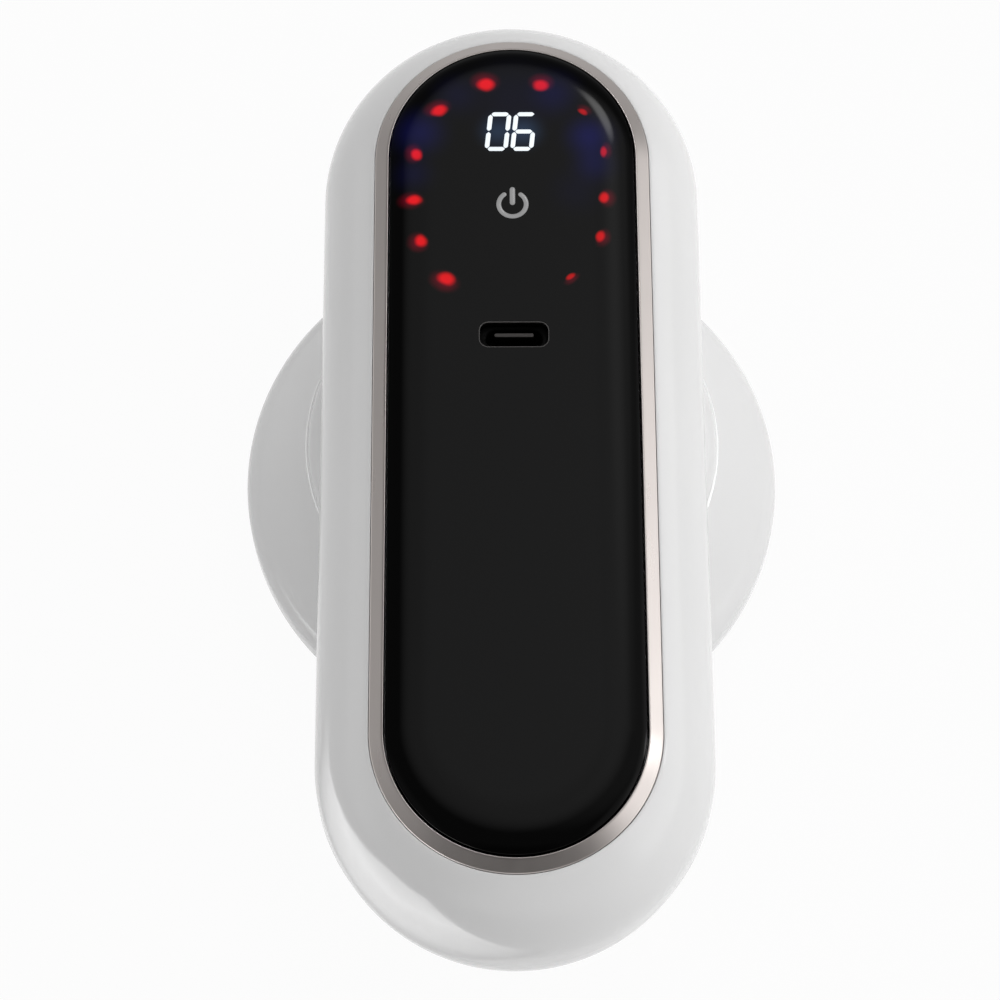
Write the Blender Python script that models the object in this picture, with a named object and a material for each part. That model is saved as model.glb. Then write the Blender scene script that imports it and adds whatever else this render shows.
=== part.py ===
"""Cordless body massager: a pill-shaped handle over a round head with a geared, turning roller plate.

Metres, +Z up. The massager stands on its rollers: Z = 0 is their lowest line, X = 0 and Y = 0 are the
middle of the handle, and +Y points to the end with the display. Depths are measured down from the top
edge of the trim ring, heights up from the rollers' lowest line.
"""

import math

import bmesh
import bpy
from mathutils import Matrix

# Fits and mesh steps
FIT = 0.0003                 # gap between two pieces that touch
LOOSE = 0.0006               # gap between two pieces that turn past each other
OVERRUN = 0.002              # how far a cutter runs past what it cuts
MERGE = 0.000001
PILL_STEPS = 16              # facets in each rounded end of the handle
BELL_STEPS = 40
ROUND_STEPS = 24
SMALL_STEPS = 10
ROLLER_STEPS = 16
SCREW_STEPS = 8
CURVE_STEPS = 4
SMOOTH_ANGLE = math.radians(35)

# Handle
HANDLE_WIDTH = 0.0621
HANDLE_LENGTH = 0.1597
HANDLE_DEPTH = 0.0360
BELLY_TOP_DEPTH = 0.0175     # the flank reaches its full width here
PARTING_DEPTH = 0.0210
FLANK_TURN_DEPTH = 0.0070    # where the flank's two tangents cross
UNDERSIDE_WIDTH = 0.0400
SHELL_WALL = 0.0024
LEDGE_DEPTH = 0.0040         # shelf that carries the trim and the panel
LEDGE_THICKNESS = 0.0017
LEDGE_WIDTH = 0.0052

# Trim ring and panel
TRIM_OUTER_WIDTH = 0.0448
TRIM_BEVEL = 0.0024          # the trim's width on each side, seen from above
TRIM_DROP = 0.00156          # the bevel's fall from its inner to its outer edge
PANEL_CROWN = 0.0012
PANEL_EDGE_WIDTH = 0.0062
PANEL_EDGE_DROP = 0.0004
PANEL_BASE_DEPTH = 0.0030
TAPE_THICKNESS = 0.0004
TAPE_WIDTH = 0.0016

# Charging socket
SOCKET_GAP = 0.0067          # from the lamps' path down to the socket's middle
SOCKET_HOLE_WIDTH = 0.0112
SOCKET_HOLE_HEIGHT = 0.0046
SOCKET_CORNER = 0.0012
SOCKET_SLOT_WIDTH = 0.00894
SOCKET_SLOT_HEIGHT = 0.00326
SOCKET_SLOT_DEPTH = 0.0046
SOCKET_SUNK = 0.0006         # the socket's mouth below the panel's crown
TONGUE_WIDTH = 0.0067
TONGUE_HEIGHT = 0.0007
TONGUE_SUNK = 0.0008         # the tongue's tip below the socket's mouth

# Boards and display
BOARD_DEPTH = 0.0060
BOARD_THICKNESS = 0.0012
DISPLAY_BOARD_WIDTH = 0.0400
DISPLAY_BOARD_INSET = 0.0063  # from the ledge's end to the board's end
DISPLAY_BOARD_TAIL = 0.0121   # from the socket's middle to the board's lower end
CONTROL_BOARD_WIDTH = 0.0400
CONTROL_BOARD_INSET = 0.0203  # from the ledge's lower end
BOARD_SPLIT = 0.0020          # gap between the two boards
CONTROL_BOARD_CORNER = 0.0020
MODULE_INSET = 0.0138        # from the ledge's end to the middle of the readout
MODULE_WIDTH = 0.0135
MODULE_HEIGHT = 0.0096
TOUCH_INSET = 0.0271
TOUCH_RADIUS = 0.0030
LAMP_EDGE = 0.0023           # from the ledge's side to the pill outline that the lamps lie on
LAMP_END = 0.0043            # from the ledge's end to that outline
LAMP_STRAIGHT = 0.0088       # the outline's straight side
LAMP_COUNT = 12
LAMP_FIRST_ANGLE = math.radians(-50)
LAMP_SIDE = 0.0016
LAMP_HEIGHT = 0.0006
GUIDE_WIDTH = 0.0030
RIBBON_WIDTH = 0.0120
RIBBON_THICKNESS = 0.0004
RIBBON_LAP = 0.0030
STRIP_WIDTH = 0.0024         # the flexible strip that carries the lamps
STRIP_THICKNESS = 0.0003
CHIP_SIDE = 0.0080
CHIP_HEIGHT = 0.0010

# Battery
CELL_RADIUS = 0.0092
CELL_END_ROOM = 0.01305      # from the handle's lower end to the cells
CELL_DEPTH = 0.0093          # top of the cells
CELL_SPLIT = 0.0006          # gap between the two cells
CELL_NUB_RADIUS = 0.0030
CELL_CRIMP = 0.0008
TRAY_WALL = 0.0012
TRAY_TOP_DEPTH = 0.0180
LINK_THICKNESS = 0.0004
LINK_WIDTH = 0.0070

# Head
HEAD_BELOW_SOCKET = 0.0049   # from the socket's middle to the head's axis
NECK_RADIUS = 0.0331
NECK_DEPTH = 0.0300
NECK_RISE = 0.0050
NECK_INSET = 0.0055
BELL_RADIUS = 0.0450
BELL_EDGE_DEPTH = 0.0435
BELL_ROUND = 0.0026
RIM_HEIGHT = 0.0063
RIM_WALL = 0.0026
RIM_CLEARANCE = 0.0089       # the rim's lower edge above the rollers' lowest line
BELL_WALL = 0.0024
DECK_THICKNESS = 0.0020      # the bell's flat deck under the handle
SEAL_WIDTH = 0.0024
SEAL_HEIGHT = 0.0016
SEAL_HEIGHT_ABOVE_RIM = 0.0004

# Motor
MOTOR_RADIUS = 0.0122
MOTOR_LENGTH = 0.0225
MOTOR_WALL = 0.0010
MOTOR_FLOOR = 0.0016
END_CAP_THICKNESS = 0.0016
MAGNET_THICKNESS = 0.0014
MAGNET_LENGTH = 0.0150
ROTOR_RADIUS = 0.0082
ROTOR_LENGTH = 0.0140
ROTOR_SLOT = 0.0024
ROTOR_POLES = 3
SHAFT_RADIUS = 0.0010
TERMINAL_SPREAD = 0.0050
TERMINAL_INSET = 0.0052
TERMINAL_WIDTH = 0.0020
TERMINAL_THICKNESS = 0.0005
TERMINAL_HEIGHT = 0.0016

# Planetary gearbox
GEAR_MODULE = 0.0007
SUN_TEETH = 12
PLANET_TEETH = 18
PLANET_COUNT = 3
RING_TEETH = SUN_TEETH + 2 * PLANET_TEETH
PRESSURE_ANGLE = math.radians(22)
ADDENDUM = 0.90              # in modules
DEDENDUM = 1.20              # in modules
BACKLASH = 0.00016
GEARBOX_RADIUS = 0.0215
PLATE_THICKNESS = 0.0020
COVER_THICKNESS = 0.0024
CARRIER_THICKNESS = 0.0013
FACE_WIDTH = 0.0037
PLANET_PIN_RADIUS = 0.0013
HUB_RADIUS = 0.0060
HUB_HEX_RADIUS = 0.0056
BUSH_WALL = 0.0017

# Turntable, rollers and pads
ROLLER_RADIUS = 0.0065
ROLLER_CLEARANCE = 0.0010    # from the gearbox to a roller's inner end
ROLLER_COUNT = 4
ROLLER_EDGE = 0.0046         # from a roller's outer end to the plate's edge
ROLLER_GROOVE = 0.0010
ROLLER_PIN_RADIUS = 0.0014
PIN_GRIP = 0.0021            # how far a pin reaches into the plate at each end
WINDOW_GAP = 0.0008
TABLE_LOW = 0.0042
TABLE_HIGH = 0.0090
TABLE_GAP = 0.0011           # between the plate's edge and the rim
TABLE_ROUND = 0.0030
PAD_MARGIN = 0.0012          # from a roller's window to the pad's side
PAD_EDGE = 0.0033            # from the pad's edge to the plate's edge
PAD_CORNER = 0.0020
PAD_THICKNESS = 0.0016
PAD_PROUD = 0.0010
STUD_RADIUS = 0.0023
STUD_HEIGHT = 0.0023
STUD_ROW_SHARES = (0.474, 0.658, 0.855)     # each row's radius as a share of the pad's
STUD_PITCH = 0.0072          # the least room for a stud along its row
STUD_MARGIN = 0.0033         # from the pad's side to a stud's centre
FLANGE_RADIUS = 0.0078       # the hub screw's flange
FLANGE_THICKNESS = 0.0008
CAP_RADIUS = 0.0100
CAP_HEIGHT = 0.0031
CAP_WALL = 0.0008

# Screws: M2 machine screws, and tapping screws for plastic
M2_RADIUS = 0.0010
M2_HEAD_RADIUS = 0.0019
M2_HEAD_HEIGHT = 0.0012
TAP_RADIUS = 0.0012
TAP_HEAD_RADIUS = 0.0020
TAP_HEAD_HEIGHT = 0.0016
SCREW_BITE = 0.0050
POST_RADIUS = 0.0024
POST_FOOT_RADIUS = 0.0030    # a lower post, wide enough for the screw's head
HEAD_SCREW_RADIUS = 0.0250   # from the head's axis
HEAD_SCREW_ANGLES = tuple(math.radians(a) for a in (-15, 90, 195))
GEARBOX_SCREW_RADIUS = 0.0196
GEARBOX_SCREW_COUNT = 2
MOTOR_SCREW_RADIUS = 0.0080
POST_END_INSET = 0.0072      # from the handle's lower end to the end post
POST_TOP_X = 0.0150
POST_TOP_RISE = 0.0132       # past the middle of the handle's upper end

# Wires
WIRE_RADIUS = 0.0007
MOTOR_LEAD_RADIUS = 0.0011   # both motor wires in one sleeve
WIRE_BEND = 0.0020

# Worked out from the sizes above
SPINE = (HANDLE_LENGTH - HANDLE_WIDTH) / 2
HALF_WIDTH = HANDLE_WIDTH / 2
TRIM_INNER_WIDTH = TRIM_OUTER_WIDTH - 2 * TRIM_BEVEL
LEDGE_RADIUS = TRIM_OUTER_WIDTH / 2 + FIT - LEDGE_WIDTH
LEDGE_END = SPINE + LEDGE_RADIUS
MODULE_Y = LEDGE_END - MODULE_INSET
TOUCH_Y = LEDGE_END - TOUCH_INSET
LAMP_PATH_RADIUS = LEDGE_RADIUS - LAMP_EDGE
LAMP_PATH_HIGH_Y = LEDGE_END - LAMP_END - LAMP_PATH_RADIUS
LAMP_PATH_LOW_Y = LAMP_PATH_HIGH_Y - LAMP_STRAIGHT
SOCKET_Y = LAMP_PATH_LOW_Y - LAMP_PATH_RADIUS - SOCKET_GAP
HEAD_Y = SOCKET_Y - HEAD_BELOW_SOCKET
DISPLAY_BOARD_HIGH_Y = LEDGE_END - DISPLAY_BOARD_INSET
DISPLAY_BOARD_LOW_Y = SOCKET_Y - DISPLAY_BOARD_TAIL
CONTROL_BOARD_HIGH_Y = DISPLAY_BOARD_LOW_Y - BOARD_SPLIT
CONTROL_BOARD_LOW_Y = CONTROL_BOARD_INSET - LEDGE_END
RIM_LOW = RIM_CLEARANCE
TRIM_TOP = RIM_CLEARANCE + RIM_HEIGHT + BELL_EDGE_DEPTH
UNDERSIDE = TRIM_TOP - HANDLE_DEPTH
DECK_TOP = UNDERSIDE - FIT
DECK_LOW = DECK_TOP - DECK_THICKNESS
PLATE_TOP = DECK_LOW - FIT
PLATE_LOW = PLATE_TOP - PLATE_THICKNESS
MOTOR_LOW = PLATE_TOP + FIT
MOTOR_TOP = MOTOR_LOW + MOTOR_LENGTH
MOTOR_HOLE = MOTOR_RADIUS + LOOSE
COVER_LOW = TABLE_HIGH + LOOSE
COVER_TOP = COVER_LOW + COVER_THICKNESS
CARRIER_LOW = COVER_TOP + FIT
CARRIER_TOP = CARRIER_LOW + CARRIER_THICKNESS
GEAR_LOW = CARRIER_TOP + FIT
GEAR_TOP = GEAR_LOW + FACE_WIDTH
SUN_PITCH = GEAR_MODULE * SUN_TEETH / 2
PLANET_PITCH = GEAR_MODULE * PLANET_TEETH / 2
RING_PITCH = GEAR_MODULE * RING_TEETH / 2
PLANET_ORBIT = SUN_PITCH + PLANET_PITCH
BUSH_RADIUS = HUB_RADIUS + FIT + BUSH_WALL
BOARD_TOP = TRIM_TOP - BOARD_DEPTH
BOARD_LOW = BOARD_TOP - BOARD_THICKNESS
LEDGE_TOP = TRIM_TOP - LEDGE_DEPTH
LEDGE_LOW = LEDGE_TOP - LEDGE_THICKNESS
PANEL_LOW = TRIM_TOP - PANEL_BASE_DEPTH
PANEL_TOP = TRIM_TOP + PANEL_CROWN
PARTING = TRIM_TOP - PARTING_DEPTH
FLOOR = UNDERSIDE + SHELL_WALL
LAMP_FLOOR = BOARD_TOP + FIT
LAMP_TOP = LAMP_FLOOR + LAMP_HEIGHT
CELL_Z = TRIM_TOP - CELL_DEPTH - CELL_RADIUS
CELL_X = CELL_RADIUS + CELL_SPLIT / 2
CELL_HIGH_Y = HEAD_Y - MOTOR_RADIUS - LOOSE
CELL_LOW_Y = CELL_END_ROOM - HANDLE_LENGTH / 2
CELL_LENGTH = CELL_HIGH_Y - CELL_LOW_Y
TABLE_RADIUS = BELL_RADIUS - RIM_WALL - TABLE_GAP
ROLLER_OUTER = TABLE_RADIUS - ROLLER_EDGE
ROLLER_INNER = GEARBOX_RADIUS + ROLLER_CLEARANCE
ROLLER_LENGTH = ROLLER_OUTER - ROLLER_INNER
ROLLER_MIDDLE = ROLLER_INNER + ROLLER_LENGTH / 2
PAD_RADIUS = TABLE_RADIUS - PAD_EDGE
PIN_INNER = ROLLER_INNER - WINDOW_GAP - PIN_GRIP
PIN_OUTER = ROLLER_OUTER + WINDOW_GAP + PIN_GRIP


# Meshes and materials

def clear_scene():
    for item in list(bpy.data.objects):
        bpy.data.objects.remove(item, do_unlink=True)


def finish_material(name, colour, roughness, metallic=0.0):
    """A Principled BSDF of one colour, roughness and metallic value."""
    made = bpy.data.materials.new(name)
    made.use_nodes = True
    shader = made.node_tree.nodes["Principled BSDF"]
    shader.inputs["Base Color"].default_value = (*colour, 1.0)
    shader.inputs["Roughness"].default_value = roughness
    shader.inputs["Metallic"].default_value = metallic
    made.diffuse_color = (*colour, 1.0)
    return made


def make_materials():
    return {
        "white": finish_material("glossy_white", (0.80, 0.80, 0.80), 0.28),
        "panel": finish_material("black_glass", (0.010, 0.010, 0.012), 0.08),
        "silver": finish_material("satin_silver", (0.62, 0.61, 0.59), 0.30, 1.0),
        "black": finish_material("black_plastic", (0.020, 0.020, 0.022), 0.45),
        "grey": finish_material("grey_plastic", (0.32, 0.33, 0.34), 0.45),
        "lamp": finish_material("red_lamp", (0.80, 0.03, 0.03), 0.30),
        "milky": finish_material("milky_diffuser", (0.75, 0.75, 0.74), 0.40),
        "foam": finish_material("dark_foam", (0.08, 0.08, 0.08), 0.90),
        "board": finish_material("green_board", (0.02, 0.16, 0.06), 0.45),
        "chip": finish_material("chip_black", (0.03, 0.03, 0.03), 0.50),
        "ribbon": finish_material("ribbon_film", (0.55, 0.30, 0.05), 0.35),
        "cell": finish_material("cell_sleeve", (0.05, 0.20, 0.45), 0.35),
        "nickel": finish_material("nickel_strip", (0.66, 0.63, 0.58), 0.30, 1.0),
        "steel": finish_material("steel", (0.56, 0.57, 0.58), 0.28, 1.0),
        "magnet": finish_material("magnet", (0.10, 0.10, 0.11), 0.60, 0.3),
        "iron": finish_material("rotor_iron", (0.30, 0.29, 0.28), 0.45, 1.0),
        "bronze": finish_material("bronze", (0.60, 0.38, 0.16), 0.35, 1.0),
        "gear": finish_material("gear_white", (0.78, 0.77, 0.72), 0.40),
        "felt": finish_material("grey_felt", (0.22, 0.22, 0.22), 0.95),
        "silicone": finish_material("grey_silicone", (0.42, 0.43, 0.45), 0.55),
        "roller": finish_material("roller_white", (0.74, 0.74, 0.73), 0.30),
        "red_wire": finish_material("red_wire", (0.60, 0.03, 0.03), 0.45),
        "black_wire": finish_material("black_wire", (0.02, 0.02, 0.02), 0.45),
    }


def close_mesh(bm, smooth=True):
    """Merge doubles, turn the faces outwards and shade round surfaces smooth."""
    bmesh.ops.remove_doubles(bm, verts=bm.verts[:], dist=MERGE)
    loose = [vertex for vertex in bm.verts if not vertex.link_faces]
    bmesh.ops.delete(bm, geom=loose, context="VERTS")
    bmesh.ops.recalc_face_normals(bm, faces=bm.faces[:])
    mesh = bpy.data.meshes.new("shape")
    bm.to_mesh(mesh)
    bm.free()
    if smooth:
        mesh.shade_smooth()
        mesh.set_sharp_from_angle(angle=SMOOTH_ANGLE)
    return mesh


def add_piece(name, bm, material, at=(0, 0, 0), turn=0.0, parent=None, smooth=True):
    """Put a shape in the scene under its own name, with its origin at the given place."""
    mesh = close_mesh(bm, smooth)
    mesh.materials.append(material)
    return add_copy(name, mesh, at, turn, parent)


def add_copy(name, mesh, at, turn=0.0, parent=None):
    piece = bpy.data.objects.new(name, mesh)
    bpy.context.scene.collection.objects.link(piece)
    piece.location = at
    piece.rotation_euler = (0, 0, turn)
    piece.parent = parent
    return piece


def add_axis(name, at, turn=0.0, parent=None):
    """An empty on a joint's axis, which carries what turns about it."""
    empty = bpy.data.objects.new(name, None)
    bpy.context.scene.collection.objects.link(empty)
    empty.location = at
    empty.rotation_euler = (0, 0, turn)
    empty.parent = parent
    return empty


def apply_tool(piece, bm, operation="DIFFERENCE", at=(0, 0, 0)):
    """Cut a shape out of a piece, join it on, or keep only what both share."""
    tool = bpy.data.objects.new(piece.name + "_" + operation.lower() + "_tool", close_mesh(bm))
    bpy.context.scene.collection.objects.link(tool)
    tool.location = at
    tool.parent = piece.parent
    tool.hide_render = True
    tool.display_type = "WIRE"
    change = piece.modifiers.new(operation.lower(), "BOOLEAN")
    change.operation = operation
    change.solver = "EXACT"
    change.object = tool
    return tool


def gather(*shapes):
    """Put several shapes into one, still as separate solids."""
    whole = bmesh.new()
    for shape in shapes:
        bmesh.ops.remove_doubles(shape, verts=shape.verts[:], dist=MERGE)
        part = bpy.data.meshes.new("part")
        shape.to_mesh(part)
        whole.from_mesh(part)
        shape.free()
        bpy.data.meshes.remove(part)
    return whole


# Outlines and solids

def circle(radius, steps=ROUND_STEPS, centre=(0, 0), start=0.0):
    angles = [start + 2 * math.pi * i / steps for i in range(steps)]
    return [(centre[0] + radius * math.cos(a), centre[1] + radius * math.sin(a)) for a in angles]


def arc(centre, radius, first, last, steps):
    angles = [first + (last - first) * i / steps for i in range(steps + 1)]
    return [(centre[0] + radius * math.cos(a), centre[1] + radius * math.sin(a)) for a in angles]


def rounded_box(width, height, corner, centre=(0, 0), steps=4):
    """A rectangle with round corners."""
    points = []
    for i, (sx, sy) in enumerate(((1, 1), (-1, 1), (-1, -1), (1, -1))):
        middle = (centre[0] + sx * (width / 2 - corner), centre[1] + sy * (height / 2 - corner))
        points += arc(middle, corner, i * math.pi / 2, (i + 1) * math.pi / 2, steps)
    return points


def pill(radius, low_y, high_y, steps=PILL_STEPS):
    """An outline with two round ends, centred at low_y and high_y."""
    return arc((0, high_y), radius, 0, math.pi, steps) + arc((0, low_y), radius, math.pi, 2 * math.pi, steps)


def bend(start, corner, end, steps=CURVE_STEPS):
    """A curve that leaves start towards corner and arrives at end from corner (a quadratic Bezier)."""
    points = []
    for i in range(steps + 1):
        t = i / steps
        weights = ((1 - t) ** 2, 2 * t * (1 - t), t * t)
        points.append(tuple(sum(w * p[k] for w, p in zip(weights, (start, corner, end))) for k in (0, 1)))
    return points


def slab(outlines, low, high):
    """A flat solid between two heights; outlines after the first are holes."""
    bm = bmesh.new()
    for outline in outlines:
        verts = [bm.verts.new((x, y, low)) for x, y in outline]
        for a, b in zip(verts, verts[1:] + verts[:1]):
            bm.edges.new((a, b))
    bmesh.ops.triangle_fill(bm, use_beauty=True, edges=bm.edges[:], normal=(0, 0, 1))
    raised = bmesh.ops.extrude_face_region(bm, geom=bm.faces[:])
    top = [item for item in raised["geom"] if isinstance(item, bmesh.types.BMVert)]
    bmesh.ops.translate(bm, verts=top, vec=(0, 0, high - low))
    return bm


def carried(profile, half=0.0, steps=BELL_STEPS, closed=True):
    """Carry a profile of (radius, height) round a pill path along Y, or round a circle when half is 0.

    A closed profile makes a ring; the open ends of an open one are filled flat.
    """
    bm = bmesh.new()
    verts = [bm.verts.new((radius, half, height)) for radius, height in profile]
    pairs = zip(verts, verts[1:] + (verts[:1] if closed else []))
    geometry = verts + [bm.edges.new(pair) for pair in pairs]
    for side in (1, -1):
        spun = bmesh.ops.spin(bm, geom=geometry, cent=(0, side * half, 0), axis=(0, 0, 1),
                              angle=math.pi, steps=steps // 2)
        geometry = spun["geom_last"]
        if half:
            edges = [item for item in geometry if isinstance(item, bmesh.types.BMEdge)]
            moved = bmesh.ops.extrude_edge_only(bm, edges=edges)
            fresh = [item for item in moved["geom"] if isinstance(item, bmesh.types.BMVert)]
            bmesh.ops.translate(bm, verts=fresh, vec=(0, -2 * side * half, 0))
            geometry = [item for item in moved["geom"] if not isinstance(item, bmesh.types.BMFace)]
    bmesh.ops.remove_doubles(bm, verts=bm.verts[:], dist=MERGE)
    if not closed:
        open_edges = [edge for edge in bm.edges if edge.is_boundary]
        bmesh.ops.holes_fill(bm, edges=open_edges, sides=0)
    return bm


def rod(radius, low, high, steps=ROUND_STEPS, centre=(0, 0)):
    return slab([circle(radius, steps, centre)], low, high)


def tube(outer, inner, low, high, steps=ROUND_STEPS):
    return slab([circle(outer, steps), circle(inner, steps)], low, high)


def block(low, high):
    """A box between two corners."""
    return slab([[(low[0], low[1]), (high[0], low[1]), (high[0], high[1]), (low[0], high[1])]],
                low[2], high[2])


def laid_along_y(bm):
    """Turn a shape so that its +Z runs along +Y."""
    bmesh.ops.rotate(bm, verts=bm.verts[:], cent=(0, 0, 0), matrix=Matrix.Rotation(-math.pi / 2, 3, "X"))
    return bm


def laid_along_x(bm):
    """Turn a shape so that its +Z runs along +X."""
    bmesh.ops.rotate(bm, verts=bm.verts[:], cent=(0, 0, 0), matrix=Matrix.Rotation(math.pi / 2, 3, "Y"))
    return bm


def moved(bm, x=0.0, y=0.0, z=0.0):
    bmesh.ops.translate(bm, verts=bm.verts[:], vec=(x, y, z))
    return bm


def add_screw(name, spot, sizes, material, parent=None):
    """A screw standing on its head, with the head's foot, radius and height, the thread's radius and tip."""
    head_low, head_radius, head_height, radius, tip = sizes
    head_top = head_low + head_height
    profile = [(0, head_low), (head_radius, head_low), (head_radius, head_top), (radius, head_top),
               (radius, tip), (0, tip)]
    add_piece(name, carried(profile, steps=SCREW_STEPS, closed=False), material, (*spot, 0), parent=parent)


def polar(radius, angle):
    return radius * math.cos(angle), radius * math.sin(angle)


def evenly(count, start=0.0):
    return [start + 2 * math.pi * i / count for i in range(count)]


def wire(name, route, radius, material):
    """An insulated wire with filled ends."""
    curve = bpy.data.curves.new(name, "CURVE")
    curve.dimensions = "3D"
    curve.bevel_depth = radius
    curve.bevel_resolution = 1
    curve.use_fill_caps = True
    spline = curve.splines.new("POLY")
    spline.points.add(len(route) - 1)
    for point, place in zip(spline.points, route):
        point.co = (*place, 1.0)
    curve.materials.append(material)
    piece = bpy.data.objects.new(name, curve)
    bpy.context.scene.collection.objects.link(piece)


# The handle's section, as (radius from the spine, height)

def flank(inset, low_depth):
    """The upper side: from beside the trim out to the belly, then straight down to low_depth."""
    outer = HALF_WIDTH - inset
    start = (TRIM_OUTER_WIDTH / 2 + FIT - inset, TRIM_TOP - TRIM_DROP - inset)
    corner = (outer, TRIM_TOP - FLANK_TURN_DEPTH - inset)
    return bend(start, corner, (outer, TRIM_TOP - BELLY_TOP_DEPTH)) + [(outer, TRIM_TOP - low_depth)]


def lower_flank(inset, top_depth):
    """The lower side: from the parting line in to the flat underside."""
    outer = HALF_WIDTH - inset
    low = UNDERSIDE + inset
    return bend((outer, TRIM_TOP - top_depth), (outer, low), (UNDERSIDE_WIDTH / 2, low))


def post_spots():
    """Where the three screws that close the handle stand."""
    end = -(HANDLE_LENGTH / 2 - POST_END_INSET)
    top = SPINE + POST_TOP_RISE
    return [(0, end), (POST_TOP_X, top), (-POST_TOP_X, top)]


def head_screw_spots():
    return [(x, y + HEAD_Y) for x, y in (polar(HEAD_SCREW_RADIUS, a) for a in HEAD_SCREW_ANGLES)]


def radius_at(profile, height):
    """Where a falling profile passes a height."""
    for (r1, z1), (r2, z2) in zip(profile, profile[1:]):
        if z2 <= height <= z1 and z1 > z2:
            return r2 + (r1 - r2) * (height - z2) / (z1 - z2)
    return profile[-1][0]


def build_upper_housing(material):
    outside = flank(0, PARTING_DEPTH)
    core = [(LEDGE_RADIUS, PARTING), (LEDGE_RADIUS, LEDGE_TOP), (outside[0][0], LEDGE_TOP)]
    shell = add_piece("upper_housing", carried(outside + core, SPINE, 2 * PILL_STEPS), material)
    wall = flank(SHELL_WALL, PARTING_DEPTH)
    inside = [(radius_at(wall, LEDGE_LOW), LEDGE_LOW)] + [point for point in wall if point[1] < LEDGE_LOW]
    below, within = PARTING - OVERRUN, LEDGE_RADIUS - OVERRUN
    inside += [(inside[-1][0], below), (within, below), (within, LEDGE_LOW)]
    room = apply_tool(shell, carried(inside, SPINE, 2 * PILL_STEPS))
    posts = [rod(POST_RADIUS, below - OVERRUN, LEDGE_TOP, SMALL_STEPS, spot) for spot in post_spots()]
    apply_tool(room, gather(*posts))
    bores = [rod(TAP_RADIUS + FIT, below, PARTING + SCREW_BITE + LOOSE, SCREW_STEPS, spot)
             for spot in post_spots()]
    apply_tool(shell, gather(*bores))


def handle_inside(inset, top=PARTING):
    """The room inside the lower shell, as a solid."""
    wall = lower_flank(SHELL_WALL + inset, PARTING_DEPTH)
    return carried([(wall[0][0], top)] * (top > PARTING) + wall, SPINE, 2 * PILL_STEPS, closed=False)


def build_lower_housing(material):
    top = PARTING - FIT
    shell = add_piece("lower_housing", carried(lower_flank(0, PARTING_DEPTH + FIT), SPINE, 2 * PILL_STEPS,
                                               closed=False), material)
    apply_tool(shell, neck_shoulder(), "UNION", at=(0, HEAD_Y, 0))
    room = apply_tool(shell, handle_inside(0, PARTING + OVERRUN))
    boss_top = FLOOR + SCREW_BITE
    posts = [rod(POST_FOOT_RADIUS, UNDERSIDE, top, SMALL_STEPS, spot) for spot in post_spots()]
    posts += [rod(POST_RADIUS, UNDERSIDE, boss_top, SMALL_STEPS, spot) for spot in head_screw_spots()]
    apply_tool(room, gather(*posts))
    bore = TAP_RADIUS + FIT
    below = UNDERSIDE - OVERRUN
    cuts = [rod(MOTOR_HOLE, below, FLOOR + OVERRUN, ROUND_STEPS, (0, HEAD_Y))]
    cuts += [stepped_hole(spot) for spot in post_spots()]
    cuts += [rod(bore, below, boss_top + FIT, SCREW_STEPS, spot) for spot in head_screw_spots()]
    apply_tool(shell, gather(*cuts))


def neck_shoulder():
    """The round shoulder that shows beside the handle, down to the bell's upper edge."""
    low = TRIM_TOP - NECK_DEPTH + FIT
    inner = NECK_RADIUS - NECK_INSET
    curve = bend((NECK_RADIUS, low + FIT), (NECK_RADIUS, low + NECK_RISE / 2), (inner, low + NECK_RISE), 4)
    return carried([(inner, low), (NECK_RADIUS, low)] + curve)


def post_floor(spot):
    """The height of the handle's outer skin under a post."""
    x, y = spot
    reach = math.hypot(x, max(abs(y) - SPINE, 0.0))
    wall = lower_flank(0, PARTING_DEPTH)
    for (r1, z1), (r2, z2) in zip(wall, wall[1:]):
        if r2 <= reach <= r1 and r1 > r2:
            return z2 + (z1 - z2) * (reach - r2) / (r1 - r2)
    return UNDERSIDE


def stepped_hole(spot):
    """The screw's hole, with a wide sink for its head from below."""
    sink = screw_sink(spot)
    x, y = spot
    wide, bore = TAP_HEAD_RADIUS + FIT, TAP_RADIUS + FIT
    profile = [(0, UNDERSIDE - OVERRUN), (wide, UNDERSIDE - OVERRUN), (wide, sink), (bore, sink),
               (bore, PARTING + OVERRUN), (0, PARTING + OVERRUN)]
    return moved(carried(profile, steps=SCREW_STEPS, closed=False), x, y)


def screw_sink(spot):
    """The height of the shoulder that a closing screw's head pulls on."""
    return post_floor(spot) + SHELL_WALL


def build_handle_screws(material):
    tip = PARTING + SCREW_BITE
    for i, spot in enumerate(post_spots()):
        low = screw_sink(spot) - FIT - TAP_HEAD_HEIGHT
        sizes = (low, TAP_HEAD_RADIUS, TAP_HEAD_HEIGHT, TAP_RADIUS, tip)
        add_screw("housing_screw_%d" % (i + 1), spot, sizes, material)


def build_trim_ring(material):
    inner, outer = TRIM_INNER_WIDTH / 2, TRIM_OUTER_WIDTH / 2
    low = LEDGE_TOP + FIT
    profile = [(inner, low), (outer, low), (outer, TRIM_TOP - TRIM_DROP), (inner, TRIM_TOP)]
    add_piece("trim_ring", carried(profile, SPINE, 2 * PILL_STEPS), material)


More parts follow.
